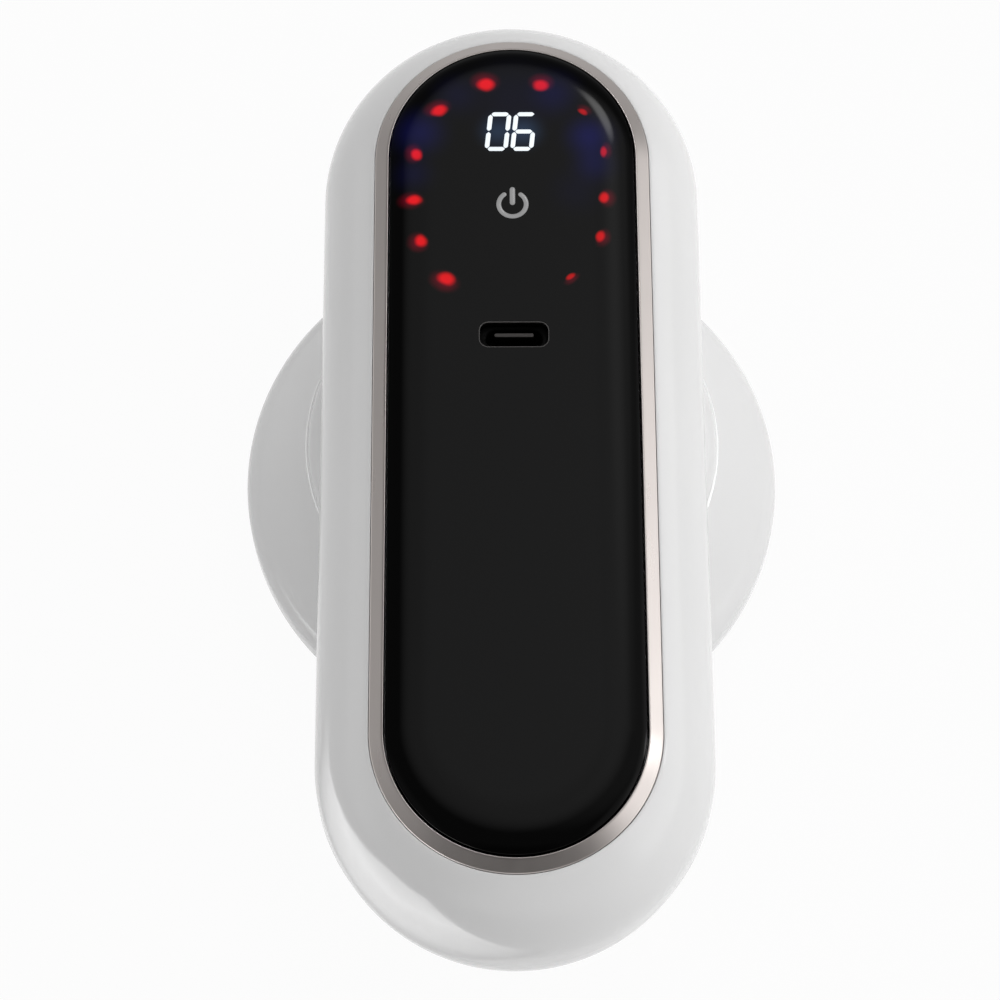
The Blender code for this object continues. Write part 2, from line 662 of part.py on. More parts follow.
def build_panel(glass, tape):
    outer = TRIM_INNER_WIDTH / 2 - FIT
    edge = TRIM_TOP - PANEL_EDGE_DROP
    crown = bend((outer, edge), (outer - PANEL_EDGE_WIDTH / 4, PANEL_TOP),
                 (outer - PANEL_EDGE_WIDTH, PANEL_TOP), 5)
    body = carried([(outer, PANEL_LOW)] + crown, SPINE, 2 * PILL_STEPS, closed=False)
    panel = add_piece("front_panel", body, glass)
    hole = rounded_box(SOCKET_HOLE_WIDTH, SOCKET_HOLE_HEIGHT, SOCKET_CORNER, (0, SOCKET_Y))
    apply_tool(panel, slab([hole], PANEL_LOW - OVERRUN, PANEL_TOP + OVERRUN))
    inner = outer - TAPE_WIDTH
    high = PANEL_LOW - FIT
    ring = [(inner, high - TAPE_THICKNESS), (outer, high - TAPE_THICKNESS), (outer, high), (inner, high)]
    add_piece("panel_tape", carried(ring, SPINE, PILL_STEPS), tape)


def build_socket(shell, tongue):
    mouth = PANEL_TOP - SOCKET_SUNK
    width, height = SOCKET_HOLE_WIDTH - 2 * FIT, SOCKET_HOLE_HEIGHT - 2 * FIT
    corner = SOCKET_CORNER - FIT
    body = add_piece("usb_socket", slab([rounded_box(width, height, corner)], LAMP_FLOOR, mouth), shell,
                     (0, SOCKET_Y, 0))
    slot = rounded_box(SOCKET_SLOT_WIDTH, SOCKET_SLOT_HEIGHT, SOCKET_SLOT_HEIGHT / 2 - FIT)
    apply_tool(body, slab([slot], mouth - SOCKET_SLOT_DEPTH, mouth + OVERRUN), at=(0, SOCKET_Y, 0))
    low, high = mouth - SOCKET_SLOT_DEPTH + FIT, mouth - TONGUE_SUNK
    half_width, half_height = TONGUE_WIDTH / 2, TONGUE_HEIGHT / 2
    blade = block((-half_width, -half_height, low), (half_width, half_height, high))
    add_piece("usb_tongue", blade, tongue, (0, SOCKET_Y, 0))


def lamp_spots():
    """Even steps along the pill outline, from the lower left round the top to the lower right."""
    low_arc = -LAMP_FIRST_ANGLE * LAMP_PATH_RADIUS
    side = LAMP_PATH_HIGH_Y - LAMP_PATH_LOW_Y
    top_arc = math.pi * LAMP_PATH_RADIUS
    length = 2 * low_arc + 2 * side + top_arc
    spots = []
    for i in range(LAMP_COUNT):
        way = length * i / (LAMP_COUNT - 1)
        if way <= low_arc:
            x, y = polar(LAMP_PATH_RADIUS, LAMP_FIRST_ANGLE + way / LAMP_PATH_RADIUS)
            spots.append((x, y + LAMP_PATH_LOW_Y))
        elif way <= low_arc + side:
            spots.append((LAMP_PATH_RADIUS, LAMP_PATH_LOW_Y + way - low_arc))
        elif way <= low_arc + side + top_arc:
            x, y = polar(LAMP_PATH_RADIUS, (way - low_arc - side) / LAMP_PATH_RADIUS)
            spots.append((x, y + LAMP_PATH_HIGH_Y))
        else:
            x, y = spots[LAMP_COUNT - 1 - i]
            spots.append((-x, y))
    return spots


def build_display(materials):
    middle_low = DISPLAY_BOARD_LOW_Y + DISPLAY_BOARD_WIDTH / 2
    middle_high = DISPLAY_BOARD_HIGH_Y - DISPLAY_BOARD_WIDTH / 2
    outline = pill(DISPLAY_BOARD_WIDTH / 2, middle_low, middle_high, SMALL_STEPS)
    add_piece("display_board", slab([outline], BOARD_LOW, BOARD_TOP), materials["board"])
    high = PANEL_LOW - FIT
    module = rounded_box(MODULE_WIDTH, MODULE_HEIGHT, FIT, (0, MODULE_Y), 1)
    add_piece("display_module", slab([module], LAMP_FLOOR, high), materials["milky"])
    pad = rod(TOUCH_RADIUS, LAMP_FLOOR, high, SMALL_STEPS, (0, TOUCH_Y))
    add_piece("touch_pad", pad, materials["foam"])
    outer = LAMP_PATH_RADIUS + GUIDE_WIDTH / 2
    inner = LAMP_PATH_RADIUS - GUIDE_WIDTH / 2
    ring = [pill(radius, LAMP_PATH_LOW_Y, LAMP_PATH_HIGH_Y, SMALL_STEPS) for radius in (outer, inner)]
    add_piece("light_ring", slab(ring, LAMP_TOP + FIT, high), materials["milky"])
    half = LAMP_SIDE / 2
    strip = [pill(LAMP_PATH_RADIUS + side * STRIP_WIDTH / 2, LAMP_PATH_LOW_Y, LAMP_PATH_HIGH_Y, SMALL_STEPS)
             for side in (1, -1)]
    strip_top = LAMP_FLOOR + STRIP_THICKNESS
    lamps = add_piece("lamp_strip", slab(strip, LAMP_FLOOR, strip_top), materials["lamp"], smooth=False)
    inside = strip_top - STRIP_THICKNESS / 2
    chips = [block((x - half, y - half, inside), (x + half, y + half, LAMP_TOP)) for x, y in lamp_spots()]
    apply_tool(lamps, gather(*chips), "UNION")


def build_control_board(materials):
    length = CONTROL_BOARD_HIGH_Y - CONTROL_BOARD_LOW_Y
    middle = (CONTROL_BOARD_HIGH_Y + CONTROL_BOARD_LOW_Y) / 2
    outline = rounded_box(CONTROL_BOARD_WIDTH, length, CONTROL_BOARD_CORNER, (0, middle), 2)
    add_piece("control_board", slab([outline], BOARD_LOW, BOARD_TOP), materials["board"])
    low = BOARD_TOP + FIT
    half = CHIP_SIDE / 2
    chip = block((-half, middle - half, low), (half, middle + half, low + CHIP_HEIGHT))
    add_piece("driver_chip", chip, materials["chip"], smooth=False)
    first, last = CONTROL_BOARD_HIGH_Y - RIBBON_LAP, DISPLAY_BOARD_LOW_Y + RIBBON_LAP
    film = block((-RIBBON_WIDTH / 2, first, low), (RIBBON_WIDTH / 2, last, low + RIBBON_THICKNESS))
    add_piece("ribbon_cable", film, materials["ribbon"], smooth=False)


def build_battery(materials):
    crimp = CELL_RADIUS - CELL_CRIMP
    profile = [(0, 0), (crimp, 0), (CELL_RADIUS, CELL_CRIMP), (CELL_RADIUS, CELL_LENGTH - CELL_CRIMP),
               (crimp, CELL_LENGTH), (0, CELL_LENGTH)]
    cell = laid_along_y(carried(profile, steps=ROUND_STEPS, closed=False))
    mesh = close_mesh(cell)
    mesh.materials.append(materials["cell"])
    for i, side in enumerate((-1, 1)):
        add_copy("battery_cell_%d" % (i + 1), mesh, (side * CELL_X, CELL_LOW_Y, CELL_Z))
    end_low = CELL_LOW_Y - 2 * FIT - LINK_THICKNESS
    tray = add_piece("battery_tray", handle_inside(FIT), materials["black"])
    wide = CELL_X + CELL_RADIUS + FIT + TRAY_WALL
    low = (-wide, end_low - TRAY_WALL, FLOOR - OVERRUN)
    high = (wide, CELL_HIGH_Y, TRIM_TOP - TRAY_TOP_DEPTH)
    apply_tool(tray, block(low, high), "INTERSECT")
    trough = CELL_HIGH_Y - end_low + OVERRUN
    beds = [moved(laid_along_y(rod(CELL_RADIUS + FIT, 0, trough)), side * CELL_X, end_low, CELL_Z)
            for side in (-1, 1)]
    slot = block((-CELL_X, end_low, CELL_Z - LINK_WIDTH / 2 - FIT), (CELL_X, CELL_HIGH_Y + OVERRUN,
                                                                    CELL_Z + CELL_RADIUS))
    apply_tool(tray, beds[0])
    apply_tool(tray, beds[1])
    apply_tool(tray, slot)
    half = LINK_WIDTH / 2
    back = CELL_LOW_Y - FIT
    link = block((-CELL_X - half, back - LINK_THICKNESS, CELL_Z - half + FIT), (CELL_X + half, back,
                                                                              CELL_Z + half))
    add_piece("cell_link", link, materials["nickel"], smooth=False)


def build_wires(materials):
    """Leads with straight ends, from the cells and from the motor's end cap up to the boards."""
    end = BOARD_LOW - FIT
    y = CELL_HIGH_Y + FIT + WIRE_RADIUS
    for i, side in enumerate((-1, 1)):
        x = side * CELL_X
        route = [(x, y, CELL_Z - CELL_RADIUS / 2), (x, y, CELL_Z), (x, y, end)]
        wire("battery_lead_%d" % (i + 1), route, WIRE_RADIUS, materials["red_wire"])
    start = MOTOR_TOP + 2 * FIT + END_CAP_THICKNESS
    board_y = DISPLAY_BOARD_LOW_Y + MOTOR_LEAD_RADIUS + FIT
    lead_y = HEAD_Y - MOTOR_RADIUS + TERMINAL_INSET
    route = [(0, lead_y, start)]
    route += [(0, y, z) for y, z in bend((lead_y, start + WIRE_BEND), (lead_y, (start + end) / 2),
                                         ((lead_y + board_y) / 2, (start + end) / 2), 2)]
    route += [(0, y, z) for y, z in bend(((lead_y + board_y) / 2, (start + end) / 2),
                                         (board_y, (start + end) / 2), (board_y, end - WIRE_BEND), 2)[1:]]
    route.append((0, board_y, end))
    wire("motor_lead", route, MOTOR_LEAD_RADIUS, materials["black_wire"])


# The head

def bell_section():
    """The bell's wall: round the outside from the neck to the rim, then back up the inside."""
    edge = TRIM_TOP - BELL_EDGE_DEPTH
    neck = TRIM_TOP - NECK_DEPTH
    outside = [(NECK_RADIUS, neck)]
    outside += bend((BELL_RADIUS - BELL_ROUND, edge + BELL_ROUND), (BELL_RADIUS, edge),
                    (BELL_RADIUS, edge - BELL_ROUND), 5)
    outside += bend((BELL_RADIUS, RIM_LOW + BELL_ROUND / 2), (BELL_RADIUS, RIM_LOW),
                    (BELL_RADIUS - BELL_ROUND / 2, RIM_LOW), 3)
    inner_rim = BELL_RADIUS - RIM_WALL
    shelf = RIM_LOW + SEAL_HEIGHT_ABOVE_RIM + SEAL_HEIGHT + FIT
    step = inner_rim - SEAL_WIDTH
    slope = BELL_WALL
    inside = [(inner_rim, RIM_LOW), (inner_rim, shelf), (step, shelf), (step, edge - FIT),
              (NECK_RADIUS + slope, DECK_LOW), (MOTOR_HOLE, DECK_LOW), (MOTOR_HOLE, DECK_TOP),
              (NECK_RADIUS - slope, DECK_TOP), (NECK_RADIUS - slope, neck)]
    return outside + inside


def build_bell(material):
    bell = add_piece("bell_housing", carried(bell_section()), material, (0, HEAD_Y, 0))
    room = [(HALF_WIDTH + FIT, TRIM_TOP)] + lower_flank(-FIT, PARTING_DEPTH)
    apply_tool(bell, carried(room, SPINE, 2 * PILL_STEPS, closed=False))
    holes = [rod(TAP_RADIUS + FIT, DECK_LOW - OVERRUN, DECK_TOP + OVERRUN, SCREW_STEPS, spot)
             for spot in head_screw_spots()]
    holes += [rod(M2_RADIUS + FIT, DECK_LOW - OVERRUN, DECK_TOP + OVERRUN, SCREW_STEPS, spot)
              for spot in gearbox_screw_spots()]
    apply_tool(bell, gather(*holes))


def gearbox_screw_spots():
    spots = [polar(GEARBOX_SCREW_RADIUS, a) for a in evenly(GEARBOX_SCREW_COUNT, math.pi / 4)]
    return [(x, y + HEAD_Y) for x, y in spots]


def motor_screw_spots():
    return [(x, y + HEAD_Y) for x, y in (polar(MOTOR_SCREW_RADIUS, a) for a in (0, math.pi))]


def build_dust_seal(material):
    outer = BELL_RADIUS - RIM_WALL - FIT
    low = RIM_LOW + SEAL_HEIGHT_ABOVE_RIM
    add_piece("dust_seal", tube(outer, outer - SEAL_WIDTH, low, low + SEAL_HEIGHT, BELL_STEPS),
              material, (0, HEAD_Y, 0))


def build_motor(materials):
    inner = MOTOR_RADIUS - MOTOR_WALL
    floor = MOTOR_LOW + MOTOR_FLOOR
    bore = SHAFT_RADIUS + FIT
    profile = [(bore, MOTOR_LOW), (MOTOR_RADIUS, MOTOR_LOW), (MOTOR_RADIUS, MOTOR_TOP), (inner, MOTOR_TOP),
               (inner, floor), (bore, floor)]
    can = add_piece("motor_can", carried(profile, steps=ROUND_STEPS), materials["steel"], (0, HEAD_Y, 0))
    taps = [rod(M2_RADIUS + FIT, MOTOR_LOW - OVERRUN, floor + OVERRUN, SCREW_STEPS, spot)
            for spot in motor_screw_spots()]
    apply_tool(can, gather(*taps))
    cap_low = MOTOR_TOP + FIT
    cap = add_piece("motor_end_cap", rod(MOTOR_RADIUS, cap_low, cap_low + END_CAP_THICKNESS),
                    materials["black"], (0, HEAD_Y, 0))
    sunk = cap_low + END_CAP_THICKNESS / 2
    apply_tool(cap, rod(bore, cap_low - OVERRUN, sunk, SMALL_STEPS), at=(0, HEAD_Y, 0))
    cap_top = cap_low + END_CAP_THICKNESS
    y = TERMINAL_INSET - MOTOR_RADIUS
    half_x, half_y = TERMINAL_WIDTH / 2, TERMINAL_THICKNESS / 2
    pair = [block((x - half_x, y - half_y, sunk), (x + half_x, y + half_y, cap_top + TERMINAL_HEIGHT))
            for x in (-TERMINAL_SPREAD, TERMINAL_SPREAD)]
    apply_tool(cap, gather(*pair), "UNION", at=(0, HEAD_Y, 0))
    middle = (floor + MOTOR_TOP) / 2
    outer = inner - FIT
    add_piece("motor_magnet", tube(outer, outer - MAGNET_THICKNESS, middle - MAGNET_LENGTH / 2,
                                   middle + MAGNET_LENGTH / 2), materials["magnet"], (0, HEAD_Y, 0))


def rotor_outline():
    """Round poles with a slot between each pair."""
    slot = math.asin(ROTOR_SLOT / 2 / ROTOR_RADIUS)
    points = []
    for angle in evenly(ROTOR_POLES):
        points += arc((0, 0), ROTOR_RADIUS, angle + slot, angle + 2 * math.pi / ROTOR_POLES - slot, 8)
        points.append(polar(ROTOR_RADIUS / 2, angle + 2 * math.pi / ROTOR_POLES))
    return points


def build_rotor(materials, axis):
    bore = SHAFT_RADIUS + FIT
    middle = (MOTOR_LOW + MOTOR_FLOOR + MOTOR_TOP) / 2
    outline = [rotor_outline(), circle(bore, SMALL_STEPS)]
    add_piece("motor_rotor", slab(outline, middle - ROTOR_LENGTH / 2, middle + ROTOR_LENGTH / 2),
              materials["iron"], parent=axis)
    top = MOTOR_TOP + END_CAP_THICKNESS / 2
    add_piece("motor_shaft", rod(SHAFT_RADIUS, GEAR_LOW, top, SMALL_STEPS), materials["steel"], parent=axis)


def build_motor_plate(materials):
    plate = add_piece("motor_plate", tube(GEARBOX_RADIUS, SHAFT_RADIUS + LOOSE, PLATE_LOW, PLATE_TOP),
                      materials["steel"], (0, HEAD_Y, 0))
    holes = [rod(M2_RADIUS + FIT, PLATE_LOW - OVERRUN, PLATE_TOP + OVERRUN, SCREW_STEPS, spot)
             for spot in gearbox_screw_spots()]
    sink = PLATE_LOW + FIT + M2_HEAD_HEIGHT
    for x, y in motor_screw_spots():
        wide, bore = M2_HEAD_RADIUS + FIT, M2_RADIUS + FIT
        profile = [(0, PLATE_LOW - OVERRUN), (wide, PLATE_LOW - OVERRUN), (wide, sink), (bore, sink),
                   (bore, PLATE_TOP + OVERRUN), (0, PLATE_TOP + OVERRUN)]
        holes.append(moved(carried(profile, steps=SCREW_STEPS, closed=False), x, y))
    apply_tool(plate, gather(*holes))
    tip = MOTOR_LOW + MOTOR_FLOOR
    head_low = sink - FIT - M2_HEAD_HEIGHT
    sizes = (head_low, M2_HEAD_RADIUS, M2_HEAD_HEIGHT, M2_RADIUS, tip)
    for i, spot in enumerate(motor_screw_spots()):
        add_screw("motor_screw_%d" % (i + 1), spot, sizes, materials["steel"])


# Gears

def involute(angle):
    return math.tan(angle) - angle


def gear_outline(teeth, tip, root, play):
    """Involute teeth, the first centred on +X; play is taken off each tooth's thickness."""
    pitch = GEAR_MODULE * teeth / 2
    base = pitch * math.cos(PRESSURE_ANGLE)
    half_tooth = (math.pi * GEAR_MODULE / 2 - play) / 2 / pitch
    foot = max(root, base)

    def half_angle(radius):
        slope = math.acos(min(1.0, base / radius))
        return half_tooth + involute(PRESSURE_ANGLE) - involute(slope)

    points = []
    for angle in evenly(teeth):
        rise = [(radius, half_angle(radius)) for radius in (foot, tip)]
        if root < base:
            rise.insert(0, (root, half_angle(base)))
        points += [polar(radius, angle - half) for radius, half in rise]
        points += [polar(radius, angle + half) for radius, half in rise[::-1]]
    return points


def outer_gear(teeth):
    pitch = GEAR_MODULE * teeth / 2
    return gear_outline(teeth, pitch + ADDENDUM * GEAR_MODULE, pitch - DEDENDUM * GEAR_MODULE, BACKLASH)


def turned_outline(outline, angle):
    c, s = math.cos(angle), math.sin(angle)
    return [(x * c - y * s, x * s + y * c) for x, y in outline]


def build_gears(materials, motor_axis, table_axis):
    sun = [outer_gear(SUN_TEETH), circle(SHAFT_RADIUS + FIT, SMALL_STEPS)]
    add_piece("sun_gear", slab(sun, GEAR_LOW, GEAR_TOP), materials["bronze"], parent=motor_axis,
              smooth=False)
    half_tooth = math.pi / PLANET_TEETH
    planet = [turned_outline(outer_gear(PLANET_TEETH), half_tooth),
              circle(PLANET_PIN_RADIUS + FIT, SMALL_STEPS)]
    mesh = close_mesh(slab(planet, GEAR_LOW, GEAR_TOP), smooth=False)
    mesh.materials.append(materials["gear"])
    for i, angle in enumerate(evenly(PLANET_COUNT, math.pi / 2)):
        x, y = polar(PLANET_ORBIT, angle)
        axis = add_axis("planet_axis_%d" % (i + 1), (x, y, 0), angle, table_axis)
        add_copy("planet_gear_%d" % (i + 1), mesh, (0, 0, 0), 0.0, axis)
    tip, root = RING_PITCH + DEDENDUM * GEAR_MODULE, RING_PITCH - ADDENDUM * GEAR_MODULE
    teeth = turned_outline(gear_outline(RING_TEETH, tip, root, -BACKLASH), math.pi / RING_TEETH)
    ring = add_piece("ring_gear", slab([circle(GEARBOX_RADIUS), teeth], CARRIER_LOW, PLATE_LOW - FIT),
                     materials["gear"], (0, HEAD_Y, 0), smooth=False)
    holes = [rod(M2_RADIUS + FIT, CARRIER_LOW - OVERRUN, PLATE_LOW + OVERRUN, SCREW_STEPS, spot)
             for spot in gearbox_screw_spots()]
    apply_tool(ring, gather(*holes))


def build_carrier(materials, axis):
    radius = RING_PITCH - ADDENDUM * GEAR_MODULE - LOOSE
    shaft_room = SHAFT_RADIUS + LOOSE
    bite = TAP_RADIUS + FIT
    profile = [(shaft_room, CARRIER_TOP), (radius, CARRIER_TOP), (radius, CARRIER_LOW),
               (HUB_RADIUS, CARRIER_LOW), (HUB_RADIUS, TABLE_HIGH + FIT), (bite, TABLE_HIGH + FIT),
               (bite, CARRIER_LOW), (shaft_room, CARRIER_LOW)]
    carrier = add_piece("planet_carrier", carried(profile, steps=ROUND_STEPS), materials["steel"],
                        parent=axis)
    low = TABLE_LOW + FIT
    hexagon = [circle(HUB_HEX_RADIUS, 6), circle(bite, SMALL_STEPS)]
    apply_tool(carrier, slab(hexagon, low, TABLE_HIGH + 2 * FIT), "UNION")
    pin_low = CARRIER_LOW + CARRIER_THICKNESS / 4
    pins = [rod(PLANET_PIN_RADIUS, pin_low, GEAR_TOP, SMALL_STEPS, polar(PLANET_ORBIT, angle))
            for angle in evenly(PLANET_COUNT, math.pi / 2)]
    apply_tool(carrier, gather(*pins), "UNION")


def build_gearbox_cover(materials):
    hole = BUSH_RADIUS + FIT
    cover = add_piece("gearbox_cover", tube(GEARBOX_RADIUS, hole, COVER_LOW, COVER_TOP), materials["black"],
                      (0, HEAD_Y, 0))
    sink = COVER_LOW + FIT + M2_HEAD_HEIGHT
    wide, bore = M2_HEAD_RADIUS - FIT, M2_RADIUS + FIT
    holes = []
    for i, (x, y) in enumerate(gearbox_screw_spots()):
        profile = [(0, COVER_LOW - OVERRUN), (wide, COVER_LOW - OVERRUN), (wide, sink), (bore, sink),
                   (bore, COVER_TOP + OVERRUN), (0, COVER_TOP + OVERRUN)]
        holes.append(moved(carried(profile, steps=SCREW_STEPS, closed=False), x, y))
        sizes = (sink - FIT - M2_HEAD_HEIGHT, wide - FIT, M2_HEAD_HEIGHT, M2_RADIUS, DECK_TOP - FIT)
        add_screw("gearbox_screw_%d" % (i + 1), (x, y), sizes, materials["steel"])
    apply_tool(cover, gather(*holes))
    add_piece("output_bush", tube(BUSH_RADIUS, HUB_RADIUS + FIT, COVER_LOW, COVER_TOP),
              materials["bronze"], (0, HEAD_Y, 0))


def build_head_screws(material):
    low = DECK_LOW - FIT - TAP_HEAD_HEIGHT
    tip = FLOOR + SCREW_BITE * 2 / 3
    sizes = (low, TAP_HEAD_RADIUS, TAP_HEAD_HEIGHT, TAP_RADIUS, tip)
    for i, spot in enumerate(head_screw_spots()):
        add_screw("head_screw_%d" % (i + 1), spot, sizes, material)


# The turning plate

def build_turntable(material, axis):
    rounded = bend((TABLE_RADIUS - TABLE_ROUND, TABLE_LOW), (TABLE_RADIUS, TABLE_LOW),
                   (TABLE_RADIUS, TABLE_LOW + TABLE_ROUND), 4)
    profile = rounded + [(TABLE_RADIUS, TABLE_HIGH)]
    table = add_piece("turntable", carried(profile, closed=False), material, parent=axis)
    deep = (TABLE_LOW - OVERRUN, TABLE_HIGH + OVERRUN)
    inner, outer = ROLLER_INNER - WINDOW_GAP, ROLLER_OUTER + WINDOW_GAP
    wide = 2 * (ROLLER_RADIUS + WINDOW_GAP)
    middle = ((inner + outer) / 2, 0)
    window = rounded_box(outer - inner, wide, WINDOW_GAP, middle, 2)
    cuts = [slab([turned_outline(window, a)], *deep) for a in evenly(ROLLER_COUNT)]
    cuts.append(slab([circle(HUB_HEX_RADIUS + FIT, 6)], *deep))
    apply_tool(table, gather(*cuts))
    bore = ROLLER_PIN_RADIUS + FIT
    bores = []
    for angle in evenly(ROLLER_COUNT):
        hole = moved(laid_along_x(rod(bore, PIN_INNER - FIT, PIN_OUTER + FIT, SMALL_STEPS)),
                     z=ROLLER_RADIUS)
        bmesh.ops.rotate(hole, verts=hole.verts[:], cent=(0, 0, 0), matrix=Matrix.Rotation(angle, 3, "Z"))
        bores.append(hole)
    apply_tool(table, gather(*bores))
    recess = PAD_THICKNESS - PAD_PROUD + FIT
    pocket = slab([pad_outline(FIT), hub_circle(-FIT)], TABLE_LOW - OVERRUN, TABLE_LOW + recess)
    apply_tool(table, pocket)


def pad_outline(grow=0.0):
    """Four lobes between the rollers: round outside, with straight sides beside each roller."""
    far = PAD_RADIUS + grow
    side = ROLLER_RADIUS + WINDOW_GAP + PAD_MARGIN - grow
    inner = PIN_INNER - PAD_MARGIN + grow
    along = math.asin(side / far)
    tip = polar(far, along)
    eased = along + PAD_CORNER / far
    half = bend((inner, side - PAD_CORNER), (inner, side), (inner + PAD_CORNER, side), 3)
    half += bend((tip[0] - PAD_CORNER, side), tip, polar(far, eased), 3)
    gap = [(x, -y) for x, y in half[::-1]] + half
    lobe = arc((0, 0), far, eased, 2 * math.pi / ROLLER_COUNT - eased, 8)[1:-1]
    outline = []
    for angle in evenly(ROLLER_COUNT):
        outline += turned_outline(gap + lobe, angle)
    return outline


def hub_circle(grow=0.0):
    """The pad's hole round the hub cap."""
    return circle(CAP_RADIUS + FIT + grow, ROUND_STEPS)


def stud_spots():
    """Rows of studs on arcs about the head's axis, kept clear of the rollers on both sides."""
    side = ROLLER_RADIUS + WINDOW_GAP + PAD_MARGIN
    spots = []
    for quarter in evenly(ROLLER_COUNT, math.pi / ROLLER_COUNT):
        for share in STUD_ROW_SHARES:
            radius = share * PAD_RADIUS
            reach = math.pi / ROLLER_COUNT - math.asin(min(1.0, (side + STUD_MARGIN) / radius))
            count = 1 + int(max(0.0, 2 * reach * radius) / STUD_PITCH)
            for i in range(count):
                way = i / (count - 1) if count > 1 else 1 / 2
                spots.append(polar(radius, quarter + reach * (2 * way - 1)))
    return spots


def build_pad(material, axis):
    low = TABLE_LOW - PAD_PROUD
    high = low + PAD_THICKNESS
    pad = add_piece("massage_pad", slab([pad_outline(), hub_circle()], low, high), material, parent=axis)
    studs = []
    for x, y in stud_spots():
        tip = low - STUD_HEIGHT
        dome = bend((STUD_RADIUS, low), (STUD_RADIUS, tip), (STUD_RADIUS / 3, tip), 2)
        profile = [(STUD_RADIUS, low + PAD_THICKNESS / 2)] + dome[1:]
        studs.append(moved(carried(profile, steps=SCREW_STEPS, closed=False), x, y))
    apply_tool(pad, gather(*studs), "UNION")


def roller_section():
    """A roller's ribs and grooves, as (radius, place along the roller)."""
    half = ROLLER_LENGTH / 2
    rib, deep = ROLLER_LENGTH / 7, ROLLER_RADIUS - ROLLER_GROOVE
    bore = ROLLER_PIN_RADIUS + FIT
    ease = ROLLER_GROOVE
    return [(bore, -half), (ROLLER_RADIUS - ease, -half), (ROLLER_RADIUS, -half + ease),
            (ROLLER_RADIUS, -rib * 1.5), (deep, -rib), (ROLLER_RADIUS, -rib / 2),
            (ROLLER_RADIUS, rib / 2), (deep, rib), (ROLLER_RADIUS, rib * 1.5),
            (ROLLER_RADIUS, half - ease), (ROLLER_RADIUS - ease, half), (bore, half)]


def build_rollers(materials, table_axis):
    mesh = close_mesh(laid_along_x(carried(roller_section(), steps=ROLLER_STEPS)))
    mesh.materials.append(materials["roller"])
    for i, angle in enumerate(evenly(ROLLER_COUNT)):
        x, y = polar(ROLLER_MIDDLE, angle)
        axis = add_axis("roller_axis_%d" % (i + 1), (x, y, ROLLER_RADIUS), angle, table_axis)
        add_copy("massage_roller_%d" % (i + 1), mesh, (0, 0, 0), 0.0, axis)
        pin = moved(laid_along_x(rod(ROLLER_PIN_RADIUS, PIN_INNER, PIN_OUTER, SMALL_STEPS)),
                    z=ROLLER_RADIUS)
        add_piece("roller_pin_%d" % (i + 1), pin, materials["steel"], turn=angle, parent=table_axis)


def build_hub(materials, axis):
    flange_top = TABLE_LOW - FIT
    head_top = flange_top - FLANGE_THICKNESS
    head_low = head_top - FLANGE_THICKNESS / 2
    profile = [(0, head_low), (TAP_HEAD_RADIUS, head_low), (TAP_HEAD_RADIUS, head_top),
               (FLANGE_RADIUS, head_top), (FLANGE_RADIUS, flange_top), (TAP_RADIUS, flange_top),
               (TAP_RADIUS, TABLE_HIGH), (0, TABLE_HIGH)]
    add_piece("hub_screw", carried(profile, steps=ROUND_STEPS, closed=False), materials["steel"],
              parent=axis)
    low = flange_top - CAP_HEIGHT
    ceiling = low + CAP_WALL
    inner = CAP_RADIUS - CAP_WALL
    outside = bend((CAP_RADIUS, flange_top), (CAP_RADIUS, low), (CAP_RADIUS / 3, low), 4) + [(0, low)]
    inside = [(0, ceiling)] + bend((CAP_RADIUS / 3, ceiling), (inner, ceiling), (inner, flange_top), 3)
    add_piece("hub_cap", carried(outside + inside, steps=ROUND_STEPS), materials["silver"], parent=axis)


def main():
    clear_scene()
    materials = make_materials()
    motor_axis = add_axis("motor_axis", (0, HEAD_Y, 0))
    table_axis = add_axis("turntable_axis", (0, HEAD_Y, 0))
    build_upper_housing(materials["white"])
    build_lower_housing(materials["white"])
    build_handle_screws(materials["steel"])
    build_trim_ring(materials["silver"])
    build_panel(materials["panel"], materials["foam"])
    build_socket(materials["black"], materials["grey"])
    build_display(materials)
    build_control_board(materials)
    build_battery(materials)
    build_wires(materials)
    build_bell(materials["white"])
    build_dust_seal(materials["felt"])
    build_motor(materials)
    build_rotor(materials, motor_axis)
    build_motor_plate(materials)
    build_gears(materials, motor_axis, table_axis)
    build_carrier(materials, table_axis)
    build_gearbox_cover(materials)
    build_head_screws(materials["steel"])
    build_turntable(materials["white"], table_axis)
    build_pad(materials["silicone"], table_axis)
    build_rollers(materials, table_axis)
    build_hub(materials, table_axis)
    bpy.context.view_layer.update()


main()
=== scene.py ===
import math

import bmesh
import bpy
import numpy as np
from mathutils import Matrix, Vector


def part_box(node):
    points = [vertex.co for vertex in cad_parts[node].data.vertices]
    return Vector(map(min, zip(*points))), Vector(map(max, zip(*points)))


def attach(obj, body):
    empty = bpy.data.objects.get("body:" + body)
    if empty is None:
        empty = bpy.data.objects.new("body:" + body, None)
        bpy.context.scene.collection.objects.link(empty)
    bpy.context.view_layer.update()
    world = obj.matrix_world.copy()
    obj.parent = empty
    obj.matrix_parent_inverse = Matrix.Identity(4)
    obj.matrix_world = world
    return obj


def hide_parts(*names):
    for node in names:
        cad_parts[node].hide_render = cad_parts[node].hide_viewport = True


# Looks of a cordless body massager: a pill-shaped handle with a black glass panel over a round head.
# Lengths are in metres and written in millimetres times mm; +Y points to the end with the readout.

